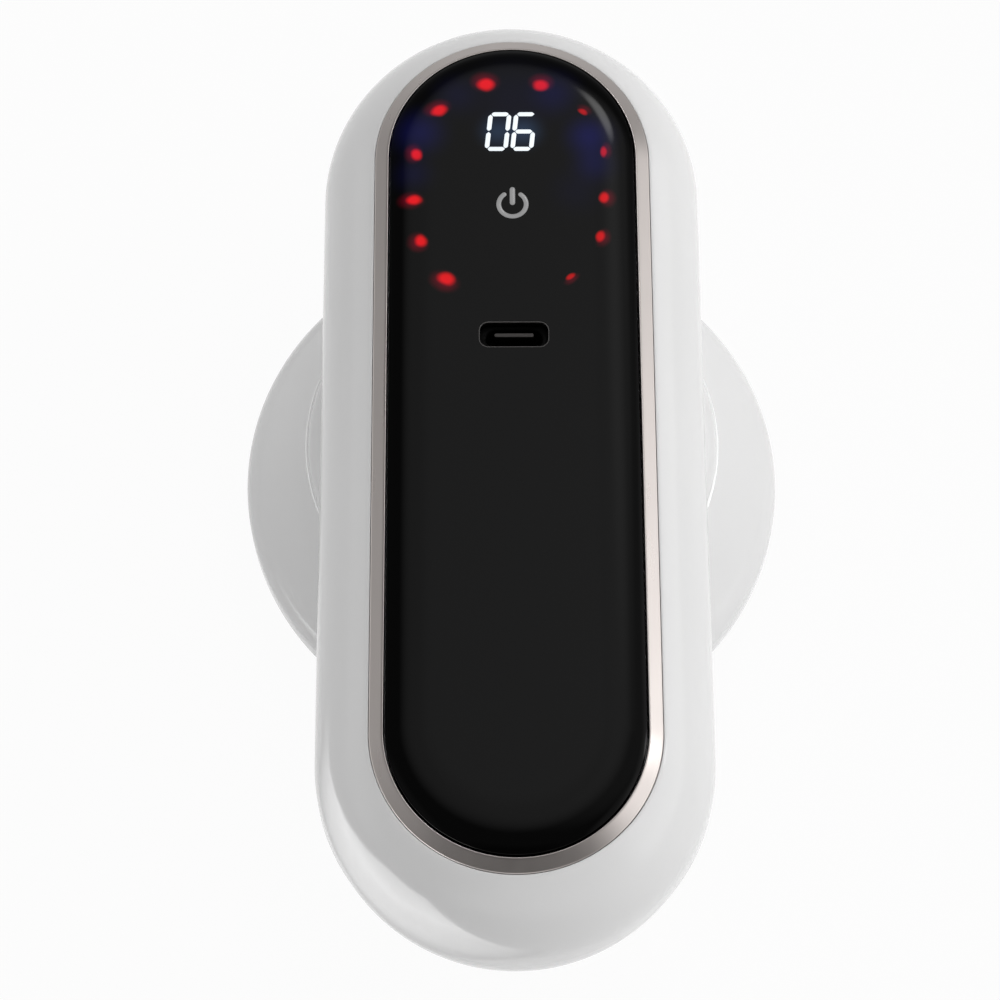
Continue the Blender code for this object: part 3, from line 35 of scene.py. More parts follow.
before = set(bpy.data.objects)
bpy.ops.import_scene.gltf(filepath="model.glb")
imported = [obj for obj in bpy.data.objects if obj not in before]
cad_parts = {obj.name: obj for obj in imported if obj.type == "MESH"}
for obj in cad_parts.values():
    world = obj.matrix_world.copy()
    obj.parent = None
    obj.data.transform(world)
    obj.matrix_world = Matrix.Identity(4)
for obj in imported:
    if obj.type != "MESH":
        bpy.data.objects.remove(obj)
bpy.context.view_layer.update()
mm = 0.001
merging = {"doubles": 0.002 * mm, "leftovers": 0.001 * mm}
sharpAngle = math.radians(34)
overcut = 1 * mm                 # how far a cutter reaches past the surface that it cuts
quarter = math.pi / 2
print("frame loaded:", len(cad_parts), "nodes")


# Curves and surfaces

def curveTo(start, corner, end, steps):
    # a quadratic bend: it leaves start towards corner and arrives at end from corner
    t = np.linspace(0, 1, steps + 1)[:, None]
    return (1 - t) ** 2 * np.array(start) + 2 * t * (1 - t) * np.array(corner) + t ** 2 * np.array(end)


def softCorners(points, rounds, closed=True, steps=5):
    # a line whose corners are cut short by their round and bridged with a bend; two support points hold
    # the flat stretches beside each bend flat in smooth shading
    points = [np.array(point, float) for point in points]
    made = []
    for i, (point, size) in enumerate(zip(points, rounds)):
        isEnd = not closed and i in (0, len(points) - 1)
        if isEnd or size == 0:
            made.append(point[None])
            continue
        before, after = points[i - 1] - point, points[(i + 1) % len(points)] - point
        lengthBefore, lengthAfter = np.linalg.norm(before), np.linalg.norm(after)
        reach = min(size, 0.45 * lengthBefore, 0.45 * lengthAfter)
        before, after = before / lengthBefore, after / lengthAfter
        bent = curveTo(point + before * reach, point, point + after * reach, steps)
        support = min(1.6 * reach, 0.48 * lengthBefore), min(1.6 * reach, 0.48 * lengthAfter)
        made += [(point + before * support[0])[None], bent, (point + after * support[1])[None]]
    return np.concatenate(made)


def pillPath(half, bendSteps, sideSteps):
    # two half circles about (0, half) and (0, -half), joined by straight sides: each step has the middle's
    # y and the outward direction
    turn = np.linspace(0, math.pi, bendSteps + 1)
    side = np.linspace(half, -half, sideSteps + 1)[1:-1]
    ends = np.ones(bendSteps + 1)
    y = np.concatenate([half * ends, side, -half * ends, side[::-1]])
    angle = np.concatenate([turn, np.full(side.size, math.pi), turn + math.pi, np.zeros(side.size)])
    return y, np.cos(angle), np.sin(angle)


def roundPath(steps):
    # a full circle about the origin in equal steps
    angle = np.linspace(0, 2 * math.pi, steps, endpoint=False)
    return np.zeros(steps), np.cos(angle), np.sin(angle)


def carried(profile, path):
    # each profile point (radius, height) stands out from the path's middle along its outward direction
    middleY, outX, outY = path
    grid = np.empty((middleY.size, len(profile), 3))
    grid[..., 0] = outX[:, None] * profile[:, 0]
    grid[..., 1] = middleY[:, None] + outY[:, None] * profile[:, 0]
    grid[..., 2] = profile[:, 1]
    return grid


def gridFaces(rows, columns, closed):
    # quads between neighbouring rows, the last row joined to the first; closed joins the columns too
    row = np.arange(rows)[:, None]
    column = np.arange(columns if closed else columns - 1)[None]
    nextRow, nextColumn = (row + 1) % rows, (column + 1) % columns
    corners = [row * columns + column, nextRow * columns + column,
               nextRow * columns + nextColumn, row * columns + nextColumn]
    return np.stack(corners, -1).reshape(-1, 4)


def meshOf(vertices, faces):
    # loose arrays into a mesh
    mesh = bpy.data.meshes.new("surface")
    mesh.from_pydata(vertices.reshape(-1, 3).tolist(), [], faces.tolist())
    return cleaned(mesh)


def cleaned(mesh):
    # doubles are merged, flat leftovers dropped and faces turned outwards
    bm = bmesh.new()
    bm.from_mesh(mesh)
    bmesh.ops.remove_doubles(bm, verts=bm.verts[:], dist=merging["doubles"])
    bmesh.ops.dissolve_degenerate(bm, edges=bm.edges[:], dist=merging["leftovers"])
    bmesh.ops.recalc_face_normals(bm, faces=bm.faces[:])
    bm.to_mesh(mesh)
    bm.free()
    return mesh


def placed(mesh, matrix):
    # a mesh moved to its place within its own vertices
    mesh.transform(matrix)
    return mesh


def addPiece(name, mesh, material, body, stands=()):
    # puts a finished surface in the scene, on its body, in place of the solids that it stands for
    mesh.shade_smooth()
    mesh.set_sharp_from_angle(angle=sharpAngle)
    piece = bpy.data.objects.new(name, mesh)
    bpy.context.scene.collection.objects.link(piece)
    mesh.materials.clear()
    mesh.materials.append(material)
    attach(piece, body)
    if stands:
        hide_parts(*stands)


def ringMesh(profile, path, closed=True):
    # a profile carried along a path as one surface
    return meshOf(carried(profile, path), gridFaces(path[0].size, len(profile), closed))


def carve(mesh, tools):
    # cuts the tool meshes out of a mesh one after another
    piece = bpy.data.objects.new("carving", mesh)
    bpy.context.scene.collection.objects.link(piece)
    cutters = []
    for tool in tools:
        cutter = bpy.data.objects.new("cutter", tool)
        bpy.context.scene.collection.objects.link(cutter)
        cutters.append(cutter)
        change = piece.modifiers.new("carve", "BOOLEAN")
        change.operation = "DIFFERENCE"
        change.solver = "EXACT"
        change.object = cutter
    bpy.context.view_layer.update()
    done = bpy.data.meshes.new_from_object(piece.evaluated_get(bpy.context.evaluated_depsgraph_get()))
    for spare in [piece] + cutters:
        bpy.data.objects.remove(spare)
    return cleaned(done)


def drum(radius, low, high, centre=(0, 0), steps=48):
    # an upright round rod with closed ends
    profile = np.array([(0, low), (radius, low), (radius, high), (0, high)])
    return placed(ringMesh(profile, roundPath(steps), False), Matrix.Translation((*centre, 0)))


def roundedOutline(width, height, corner, steps=10):
    # a rectangle with quarter-circle corners, anticlockwise
    turn = np.linspace(0, quarter, steps + 1)
    middles = ((1, 1, 0), (-1, 1, 1), (-1, -1, 2), (1, -1, 3))
    parts = [np.stack([sideX * (width / 2 - corner) + corner * np.cos(turn + k * quarter),
                       sideY * (height / 2 - corner) + corner * np.sin(turn + k * quarter)], 1)
             for sideX, sideY, k in middles]
    return np.concatenate(parts)


def outwardOf(outline):
    # the outward direction at each point of an anticlockwise outline, square to its neighbours' line
    along = np.roll(outline, -1, 0) - np.roll(outline, 1, 0)
    out = np.stack([along[:, 1], -along[:, 0]], 1)
    return out / np.linalg.norm(out, axis=1)[:, None]


def slabMesh(outline, section, hole=None):
    # an outline lofted through a section of (inset, height) steps and filled flat at both ends; a hole's
    # outline runs anticlockwise too and its steps inset into the slab
    loops = [(outline, -1.0)] + ([(hole, 1.0)] if hole is not None else [])
    bm = bmesh.new()
    ends = [[], []]
    for line, sense in loops:
        out = outwardOf(line)
        rings = []
        for inset, height in section:
            flat = line + sense * inset * out
            rings.append([bm.verts.new((x, y, height)) for x, y in flat.tolist()])
        for lower, upper in zip(rings, rings[1:]):
            for i in range(len(lower)):
                j = (i + 1) % len(lower)
                bm.faces.new((lower[i], lower[j], upper[j], upper[i]))
        for end, ring in zip(ends, (rings[0], rings[-1])):
            end += [bm.edges.get((ring[i], ring[(i + 1) % len(ring)])) for i in range(len(ring))]
    for end in ends:
        bmesh.ops.triangle_fill(bm, use_beauty=True, edges=end)
    mesh = bpy.data.meshes.new("slab")
    bm.to_mesh(mesh)
    bm.free()
    return cleaned(mesh)


def roundedEdge(low, high, size, steps=5):
    # a slab's section: an upright wall from low whose upper edge is rounded in by size
    arc = curveTo((0, high - size), (0, high), (size, high), steps)
    return [(0, low)] + [tuple(step) for step in arc.tolist()]


def joined(meshes):
    # several meshes as one, still as separate closed shells
    bm = bmesh.new()
    for mesh in meshes:
        bm.from_mesh(mesh)
    whole = bpy.data.meshes.new("joined")
    bm.to_mesh(whole)
    bm.free()
    return whole


# Materials

def feed(tree, node, inputs):
    # gives a node its inputs: another node's output is linked, and anything else is a plain value
    for key, value in inputs.items():
        if isinstance(value, bpy.types.NodeSocket):
            tree.links.new(value, node.inputs[key])
        else:
            node.inputs[key].default_value = value
    return node


def added(tree, kind, inputs, **settings):
    # a new node of a kind, with its settings chosen before its inputs are fed
    node = tree.nodes.new("ShaderNode" + kind)
    for name, value in settings.items():
        setattr(node, name, value)
    return feed(tree, node, inputs)


def newMaterial(name):
    # a material with its node tree and its plain shader
    made = bpy.data.materials.new(name)
    made.use_nodes = True
    tree = made.node_tree
    return made, tree, tree.nodes["Principled BSDF"]


def objectPlace(tree):
    # the place on the piece itself, in metres
    return added(tree, "TexCoord", {}).outputs["Object"]


def objectNoise(tree, scale, detail=3.0, stretch=(1, 1, 1)):
    # noise over the object's own coordinates; scale counts its waves per metre
    place = added(tree, "Mapping", {"Vector": objectPlace(tree), "Scale": stretch}).outputs["Vector"]
    return added(tree, "TexNoise", {"Vector": place, "Scale": scale, "Detail": detail}).outputs["Fac"]


def mapped(tree, value, low, high, fromLow=0.3, fromHigh=0.7, smooth=False):
    # a value moved from one range to another and held inside it
    ranges = {"Value": value, "From Min": fromLow, "From Max": fromHigh, "To Min": low, "To Max": high}
    ramp = "SMOOTHSTEP" if smooth else "LINEAR"
    return added(tree, "MapRange", ranges, interpolation_type=ramp).outputs["Result"]


def mixedColour(tree, share, first, second):
    # the first colour where the share is 0, the second where it is 1
    ends = {"Factor": share, "A": (*first, 1), "B": (*second, 1)}
    return added(tree, "Mix", ends, data_type="RGBA").outputs["Result"]


def maths(tree, operation, *values, **settings):
    # one step of arithmetic on values or other nodes' outputs
    return added(tree, "Math", dict(enumerate(values)), operation=operation, **settings).outputs[0]


def summed(tree, values):
    total = values[0]
    for value in values[1:]:
        total = maths(tree, "ADD", total, value)
    return total


def finish(name, dark, light, rough, metallic=0.0, grain=900, relief=0.0, stretch=(1, 1, 1), coat=0.0,
           specular=0.5, coarse=60):
    # a moulded, cast, brushed or sprayed finish: slow colour drift between two shades, fine roughness
    # grain between the two rough values, and a relief of that height in metres
    made, tree, shader = newMaterial(name)
    drift = mapped(tree, objectNoise(tree, coarse, 2.0), 0, 1)
    fine = objectNoise(tree, grain, 4.0, stretch)
    feed(tree, shader, {
        "Base Color": mixedColour(tree, drift, dark, light), "Roughness": mapped(tree, fine, *rough),
        "Metallic": metallic, "Specular IOR Level": specular, "Coat Weight": coat, "Coat Roughness": 0.06,
    })
    if relief:
        bump = added(tree, "Bump", {"Strength": 1.0, "Distance": relief, "Height": fine})
        feed(tree, shader, {"Normal": bump.outputs["Normal"]})
    made.diffuse_color = (*light, 1)
    return made


def glowing(name, colour, strength, dim):
    # a lit marking: its own light drifts slightly over the shape, as a lamp behind a mask does
    made, tree, shader = newMaterial(name)
    drift = objectNoise(tree, 350, 1.0)
    shade = tuple(dim * part for part in colour)
    feed(tree, shader, {
        "Emission Color": mixedColour(tree, mapped(tree, drift, 0, 1), shade, colour),
        "Emission Strength": strength, "Base Color": (0.02, 0.02, 0.02, 1),
        "Roughness": mapped(tree, drift, 0.18, 0.24),
    })
    return made


# shared by both shells, the bell and the turning plate
glossyWhite = {
    "dark": (0.790, 0.788, 0.788), "light": (0.810, 0.808, 0.808), "rough": (0.11, 0.14),
    "grain": 1400, "coarse": 25, "specular": 0.32,
}
finishes = {
    "shell": finish("shellWhite", **glossyWhite),
    "head": finish("headWhite", **glossyWhite),
    # whiter and glossier than the shells: a painted highlight along the neck's joint
    "highlightSeam": finish("seamHighlightWhite", (0.94, 0.94, 0.94), (0.96, 0.96, 0.96), (0.16, 0.22), grain=1400, coat=1.0,
                   specular=1.0, coarse=25),
    "trim": finish("satinTrim", (0.425, 0.392, 0.376), (0.445, 0.410, 0.394), (0.27, 0.31), metallic=1.0,
                   grain=500, stretch=(1, 0.12, 1)),
    # black plastic made near black, darker than plastic is: painted shade inside the charging port
    "black": finish("portShadeBlack", (0.0008, 0.0008, 0.0008), (0.0014, 0.0014, 0.0014), (0.55, 0.65), grain=2200,
                    relief=0.002 * mm, specular=0.08),
    # grey against the black socket: a painted highlight of the hole's edge in the glass
    "portRimHighlight": finish("portRimHighlight", (0.030, 0.027, 0.026), (0.040, 0.036, 0.035), (0.30, 0.38), grain=1800),
    "felt": finish("greyFelt", (0.14, 0.14, 0.145), (0.22, 0.22, 0.225), (0.85, 0.98), grain=5200,
                   relief=0.12 * mm, specular=0.2, coarse=800),
    "silicone": finish("softSilicone", (0.36, 0.37, 0.39), (0.40, 0.41, 0.43), (0.46, 0.56), grain=2400,
                       relief=0.003 * mm),
    "roller": finish("rollerWhite", (0.74, 0.74, 0.735), (0.78, 0.78, 0.775), (0.20, 0.26), grain=1500,
                     relief=0.001 * mm),
    "steel": finish("brightSteel", (0.50, 0.51, 0.52), (0.58, 0.59, 0.60), (0.20, 0.32), metallic=1.0,
                    grain=3000, relief=0.001 * mm),
    "blackScrew": finish("blackenedSteel", (0.05, 0.05, 0.055), (0.08, 0.08, 0.085), (0.30, 0.42),
                         metallic=1.0, grain=2600, relief=0.002 * mm),
}
print("materials made:", len(finishes))


# The handle's sizes, shared by the shells, the trim and the panel
handle = {
    "half": 48.8 * mm,           # from the middle to the centre of each round end
    "width": 31.05 * mm,         # half width
    "top": 58.7 * mm,            # the trim's upper edge
    "bellyDepth": 17.5 * mm,
    "partingDepth": 21.0 * mm,
    "turnDepth": 7.0 * mm,
    "depth": 36.0 * mm,
    "flatWidth": 20.0 * mm,      # half width of the flat underside
    "jointRound": 0.35 * mm,     # both shells' edges at the joint line
    "gap": 0.3 * mm,
    "headY": 11.2 * mm,
}
parting = handle["top"] - handle["partingDepth"]
underside = handle["top"] - handle["depth"]
headPlace = Matrix.Translation((0, handle["headY"], 0))


# Upper shell

upperShell = {
    "seat": 22.24 * mm,          # the trim's opening, half width
    "seatDrop": 1.32 * mm,
    "ledge": 17.5 * mm,
    "ledgeTop": 54.7 * mm,
    "ledgeLow": 53.0 * mm,
    "wall": 2.4 * mm,
    "lipRound": 0.28 * mm,
    "pathSteps": (80, 48),       # round each end, and along each side
}


def makeUpperShell():
    # section: the trim's seat, the flank's bend to the belly, straight down to the joint line, back inside
    v, top, width, ease = upperShell, handle["top"], handle["width"], handle["jointRound"]
    lip = (v["seat"], top - v["seatDrop"])
    belly = (width, top - handle["bellyDepth"])
    corner = (width, top - handle["turnDepth"])
    flank = curveTo(lip, corner, belly, 44)
    rounding = curveTo((v["seat"], lip[1] - v["lipRound"]), lip, flank[2], 5)[:-1]
    joint = curveTo((width, parting + ease), (width, parting), (width - ease, parting), 5)
    inner = width - v["wall"]
    inside = np.array([(inner, parting), (inner, belly[1]), (inner - v["wall"], v["ledgeLow"] - v["wall"]),
                       (v["seat"] + v["wall"] / 3, v["ledgeLow"]), (v["ledge"], v["ledgeLow"]),
                       (v["ledge"], v["ledgeTop"]), (v["seat"], v["ledgeTop"])])
    profile = np.concatenate([rounding, flank[2:], joint, inside])
    mesh = ringMesh(profile, pillPath(handle["half"], *v["pathSteps"]))
    addPiece("upperShell", mesh, finishes["shell"], "housing", ["upper_housing"])


makeUpperShell()
print("upper shell made")


# Lower shell, with the round shoulder that meets the head

lowerShell = {
    "setBack": 0.35 * mm,        # how far its skin stands inside the upper shell's
    "wall": 2.4 * mm,
    "neckRadius": 33.85 * mm,
    "neckLow": 29.0 * mm,
    "neckRise": 4.7 * mm,
    "neckInset": 5.5 * mm,
    "neckEdge": 0.3 * mm,
    "blend": 1.1 * mm,           # how softly the shoulder grows out of the flank
    "blendLift": 0.25,           # its rise where both are level, as a share of the blend
    # heights above the neck's lower edge where the flank gets rows of its own, in mm
    "fineRows": (0.6, 0.3, 0.22, 0.15, 0.08, 0.03, 0, -0.01, -0.3),
    "sinkRadius": 2.3 * mm,
    "posts": ((0, -72.65), (15.0, 62.0), (-15.0, 62.0)),
    "sinkDepth": 5.0 * mm,
    "motorHole": 12.8 * mm,
    "pathSteps": (80, 150),
}


def neckReach(height, alongY):
    # the shoulder's half width at a height and a place along the handle: a circle about the head's axis
    # whose radius falls along a bend, with a small round at its lower edge
    v = lowerShell
    low, high = v["neckLow"], v["neckLow"] + v["neckRise"]
    bend = curveTo((v["neckRadius"], low), (v["neckRadius"], low + v["neckRise"] / 2),
                   (v["neckRadius"] - v["neckInset"], high), 40)
    radius = np.interp(height, bend[:, 1], bend[:, 0])
    into = np.clip((low + v["neckEdge"] - height) / v["neckEdge"], 0, 1)
    radius = radius - v["neckEdge"] * (1 - np.sqrt(1 - into ** 2))
    radius = np.where((height < low) | (height > high), 0, radius)
    return np.sqrt(np.clip(radius ** 2 - (alongY - handle["headY"]) ** 2, 0, None))


def makeLowerShell():
    # section: from the joint line in to the flat underside and the middle, then back along the inside; on
    # the straight sides the outer skin is the softened larger of the flank and the shoulder
    v, ease, flatWidth = lowerShell, handle["jointRound"], handle["flatWidth"]
    width = handle["width"] - v["setBack"]
    start = parting - handle["gap"]
    fine = 1 - np.sqrt((v["neckLow"] + np.array(v["fineRows"]) * mm - underside) / (start - underside))
    t = np.sort(np.concatenate([np.linspace(0, 1, 40), fine]))[:, None]
    flank = ((1 - t) ** 2 * np.array((width, start)) + 2 * t * (1 - t) * np.array((width, underside))
             + t ** 2 * np.array((flatWidth, underside)))
    joint = curveTo((width - ease, start), (width, start), flank[1], 5)[:-1]
    outer = np.concatenate([joint, flank[1:]])
    ceiling = underside + v["wall"]
    inner = curveTo((width - v["wall"], start), (width - v["wall"], ceiling), (flatWidth, ceiling), 24)
    profile = np.concatenate([[(0, ceiling)], inner[::-1], outer, [(0, underside)]])
    path = pillPath(handle["half"], *v["pathSteps"])
    grid = carried(profile, path)
    first = len(inner) + 1
    skin = grid[:, first:first + len(outer)]
    straight = np.abs(path[1]) > 0.999
    flat = np.abs(skin[straight, :, 0])
    reach = neckReach(skin[straight, :, 2], skin[straight, :, 1])
    blend = v["blend"]
    soft = v["blendLift"] * np.clip(reach - flat + blend, 0, blend)
    near = np.clip(1 - np.abs(reach - flat) / blend, 0, 1)
    grown = np.where(reach > 0, np.maximum(flat, reach) + soft * near, flat)
    skin[straight, :, 0] = np.sign(skin[straight, :, 0]) * grown
    mesh = meshOf(grid, gridFaces(path[0].size, len(profile), False))
    tools = [drum(v["motorHole"], underside - overcut, ceiling + v["wall"], (0, handle["headY"]))]
    for x, y in v["posts"]:
        spot = (x * mm, y * mm)
        out = math.hypot(spot[0], abs(spot[1]) - handle["half"])
        floor = np.interp(-out, -outer[:, 0], outer[:, 1]) + v["sinkDepth"]
        tools.append(drum(v["sinkRadius"], underside - overcut, floor, spot, 40))
    mesh = carve(mesh, tools)
    addPiece("lowerShell", mesh, finishes["shell"], "housing", ["lower_housing"])


makeLowerShell()
print("lower shell made")


# Trim ring

trimRing = {
    "inner": 19.92 * mm, "outer": 22.18 * mm, "drop": 1.34 * mm, "low": 55.0 * mm,
    "innerRound": 0.40 * mm, "outerRound": 0.16 * mm, "pathSteps": (96, 40),
}


def makeTrimRing():
    # section: a bevel that falls outwards, with both upper edges rounded
    v, top = trimRing, handle["top"]
    corners = [(v["inner"], v["low"]), (v["outer"], v["low"]), (v["outer"], top - v["drop"]),
               (v["inner"], top)]
    profile = softCorners(corners, (0, 0, v["outerRound"], v["innerRound"]), steps=6)
    mesh = ringMesh(profile, pillPath(handle["half"], *v["pathSteps"]))
    addPiece("trimRing", mesh, finishes["trim"], "housing", ["trim_ring"])


makeTrimRing()
print("trim ring made")


# Front panel, with the lamps' glow

panel = {
    "outer": 19.7 * mm, "low": 55.7 * mm, "edgeDrop": 0.1 * mm, "crown": 1.2 * mm, "edgeWidth": 6.2 * mm,
    "edgeRound": 0.25 * mm, "pathSteps": (96, 40),
    "portWidth": 11.2 * mm, "portHeight": 4.6 * mm, "portCorner": 1.6 * mm, "portY": 16.2 * mm,
    "portX": 0.1 * mm, "cornerSteps": 14,
    # the grey print, partly a painted reflection, keeps clear of the edge: the stretch of its middle line,
    # and where it fades to black as a painted darker reflection
    "printReflectionNear": -47.0 * mm, "printReflectionFar": 51.9 * mm, "printReflectionFade": (12.2 * mm, 15.5 * mm),
    "printReflectionGrey": (0.0026, 0.0026, 0.0027), "rimDarkReflection": (0.0003, 0.0003, 0.0003),
    "specular": 0.10, "rough": (0.05, 0.09), "grain": 700,
}
panelTop = handle["top"] + panel["crown"]

lamps = {
    # place, half widths of the lit spot across and along (mm), its turn (degrees) and how bright it shows
    "spots": (
        (-4.2, 61.4, 1.22, 1.00, 0, 1.0), (4.7, 61.3, 1.08, 0.90, 0, 0.86),
        (-11.8, 56.6, 1.16, 0.80, 18, 0.95), (11.5, 56.3, 0.72, 0.42, -35, 0.58),
        (14.8, 48.9, 0.48, 0.80, 0, 0.62), (-15.4, 48.5, 0.78, 0.92, 8, 0.93),
        (14.7, 40.5, 0.74, 0.84, 0, 0.84), (-15.8, 40.2, 1.10, 0.80, 0, 1.0),
        (14.0, 33.5, 0.62, 0.86, -22, 0.76), (-14.7, 32.8, 0.88, 0.92, 24, 0.95),
        (-10.6, 26.0, 1.26, 0.96, -26, 0.94), (9.1, 26.4, 0.74, 0.40, 36, 0.62),
    ),
    "middleY": 43.0 * mm,         # the haloes spread away from here
    # strength, colour, and the shares of the half widths where the light is full and where it has ended
    "core": 0.68, "coreColour": (1.0, 0.008, 0.006), "coreFoot": (0.50, 1.50),
    "halo": 0.10, "haloColour": (1.0, 0.0, 0.07), "haloFoot": (0.1, 1.0),
    "haloSize": 2.4, "haloShift": 0.55 * mm,
    "unevenness": 0.45 * mm, "waves": 420,
}
# faint blue haze beside the readout and a cool halo round each digit: place, reach (mm) and strength
haze = {
    "blue": (
        (-15.0, 52.6, 7.6, 0.040), (12.5, 51.8, 6.8, 0.052), (13.2, 46.8, 6.2, 0.030),
        (6.8, 59.8, 7.5, 0.024), (0.0, 59.0, 13.0, 0.007), (-9.0, 59.5, 7.0, 0.012),
        (10.5, 42.0, 8.0, 0.006), (-16.0, 45.0, 6.0, 0.016),
    ),
    "cool": ((-2.4, 52.7, 5.4, 0.050), (1.9, 52.7, 5.4, 0.062)),
    "blueColour": (0.06, 0.07, 1.0), "coolColour": (0.25, 0.50, 1.0),
}


def panelSection():
    # section: flat crown, then a bend down to the edge, a small round and the upright side
    v = panel
    outer, ease, edge = v["outer"], v["edgeRound"], handle["top"] - v["edgeDrop"]
    crown = curveTo((outer - v["edgeWidth"], panelTop), (outer - v["edgeWidth"] / 3, panelTop),
                    (outer - ease / 3, edge + ease), 30)
    side = curveTo(crown[-1], (outer, edge + ease / 2), (outer, edge - ease), 5)[1:]
    return crown, side


def panelHeight(points):
    # the height of the panel's face over points in plan, from their distance to the handle's spine
    crown, side = panelSection()
    beyond = np.clip(np.abs(points[:, 1]) - handle["half"], 0, None)
    reach = np.hypot(points[:, 0], beyond)
    return np.interp(reach, crown[:, 0], crown[:, 1])


def ovalGlow(tree, place, oval, foot, strength):
    # light of an even core with a soft edge: full inside foot[0] times an oval's half widths, none outside
    # foot[1] times; oval is the centre, the two half widths and the turn
    x, y, across, along, turn = oval
    lay = {"Vector": place, "Location": (x, y, 0), "Rotation": (0, 0, turn), "Scale": (across, along, 1)}
    inOval = added(tree, "Mapping", lay, vector_type="TEXTURE").outputs["Vector"]
    away = added(tree, "VectorMath", {0: inOval}, operation="LENGTH").outputs["Value"]
    return mapped(tree, away, strength, 0, *foot, True)


def softGlow(tree, place, centre, reach, strength):
    # light that falls off smoothly with the plan distance from a centre, squared for a soft foot
    fall = ovalGlow(tree, place, (*centre, reach, reach, 0), (0, 1), 1)
    return maths(tree, "MULTIPLY", maths(tree, "POWER", fall, 2.0), strength)


def tinted(tree, value, colour):
    # a colour scaled by a value
    return added(tree, "VectorMath", {0: colour, "Scale": value}, operation="SCALE").outputs["Vector"]


def pillReach(tree, split, near, far):
    # distance in plan from the stretch of the handle's middle line between near and far
    ends = [maths(tree, "MULTIPLY_ADD", split.outputs["Y"], sign, -limit, use_clamp=True)
            for sign, limit in ((1, far), (-1, -near))]
    corner = added(tree, "CombineXYZ", {"X": split.outputs["X"], "Y": summed(tree, ends)}).outputs[0]
    return added(tree, "VectorMath", {0: corner}, operation="LENGTH").outputs["Value"]


def panelGlass():
    # black glass over a dark print that is partly a painted reflection: charcoal inside as if mirroring
    # bright overhead light, black towards the rim as if mirroring darker surroundings, with the lamps' red
    # cores and haloes, a faint blue haze beside the readout and a cool halo round the digits
    v, span, size = lamps, lamps["unevenness"], lamps["haloSize"]
    made, tree, shader = newMaterial("blackGlass")
    place = objectPlace(tree)
    split = added(tree, "SeparateXYZ", {0: place})
    plan = added(tree, "CombineXYZ", {"X": split.outputs["X"], "Y": split.outputs["Y"]}).outputs[0]
    # painted reflection: 0 over the grey centre, 1 over the black towards the rim
    rim = mapped(tree, pillReach(tree, split, panel["printReflectionNear"], panel["printReflectionFar"]), 0, 1,
                 *panel["printReflectionFade"], True)
    waver = added(tree, "TexNoise", {"Vector": place, "Scale": v["waves"], "Detail": 1.0}).outputs["Color"]
    uneven = added(tree, "VectorMath", {0: waver, 1: (span, span, 0), 2: plan},
                   operation="MULTIPLY_ADD").outputs[0]
    red, deep = [], []
    for x, y, across, along, turn, bright in v["spots"]:
        x, y, across, along, turn = x * mm, y * mm, across * mm, along * mm, math.radians(turn)
        out = Vector((x, y - v["middleY"])).normalized() * v["haloShift"]
        x, y = x + span / 2, y + span / 2
        red.append(ovalGlow(tree, uneven, (x, y, across, along, turn), v["coreFoot"], v["core"] * bright))
        deep.append(ovalGlow(tree, uneven, (x + out.x, y + out.y, across * size, along * size, turn),
                             v["haloFoot"], v["halo"] * bright))
    blue, cool = [[softGlow(tree, plan, (x * mm, y * mm), reach * mm, strength)
                   for x, y, reach, strength in haze[name]] for name in ("blue", "cool")]
    light = tinted(tree, summed(tree, red), v["coreColour"])
    for values, colour in ((deep, v["haloColour"]), (blue, haze["blueColour"]), (cool, haze["coolColour"])):
        more = tinted(tree, summed(tree, values), colour)
        light = added(tree, "VectorMath", {0: light, 1: more}, operation="ADD").outputs[0]
    feed(tree, shader, {
        "Base Color": mixedColour(tree, rim, panel["printReflectionGrey"], panel["rimDarkReflection"]),
        "Specular IOR Level": panel["specular"],
        "Roughness": mapped(tree, objectNoise(tree, panel["grain"]), *panel["rough"]),
        "Emission Color": light, "Emission Strength": 1.0,
    })
    made.diffuse_color = (0.01, 0.01, 0.01, 1)
    return made


def makePanel():
    # section: from the middle of the crown out over the edge, down, and back under to the middle
    v = panel
    crown, side = panelSection()
    profile = np.concatenate([[(0, panelTop), (v["outer"] / 2, panelTop)], crown, side,
                              [(v["outer"], v["low"]), (0, v["low"])]])
    mesh = ringMesh(profile, pillPath(handle["half"], *v["pathSteps"]), False)
    outline = roundedOutline(v["portWidth"], v["portHeight"], v["portCorner"], v["cornerSteps"])
    outline = outline + np.array((v["portX"], v["portY"]))
    mesh = carve(mesh, [slabMesh(outline, [(0, v["low"] - overcut), (0, panelTop + overcut)])])
    addPiece("frontPanel", mesh, panelGlass(), "housing", ["front_panel"])


makePanel()
print("front panel made")


# Charging port

port = {
    "rim": 0.17 * mm, "rimSunk": 0.05 * mm, "rimDepth": 0.28 * mm, "rimEdge": 0.03 * mm,
    "low": 53.0 * mm, "mouthSunk": 1.6 * mm, "mouthRound": 0.12 * mm, "fit": 0.02 * mm,
    "slotWidth": 8.94 * mm, "slotHeight": 3.26 * mm, "slotDepth": 4.3 * mm,
    "flare": 0.25 * mm, "flareDepth": 0.2 * mm, "flareRise": 0.05 * mm,
    "tongueWidth": 6.2 * mm, "tongueHeight": 0.62 * mm, "tongueSunk": 0.35 * mm, "tongueFoot": 0.1 * mm,
    "tongueRound": 0.08 * mm,
    "endFlat": 0.02 * mm,        # the flat left between the round ends' corners
    # painted light and shade: the tongue's face is painted grey as lit, the rest black as shaded in the slot
    "tip": (0.14 * mm, 0.05 * mm),   # depths under the tongue's face where it is black and where it is grey
    "tipShadeBlack": (0.001, 0.001, 0.001), "tipLitGrey": (0.056, 0.052, 0.051),
}


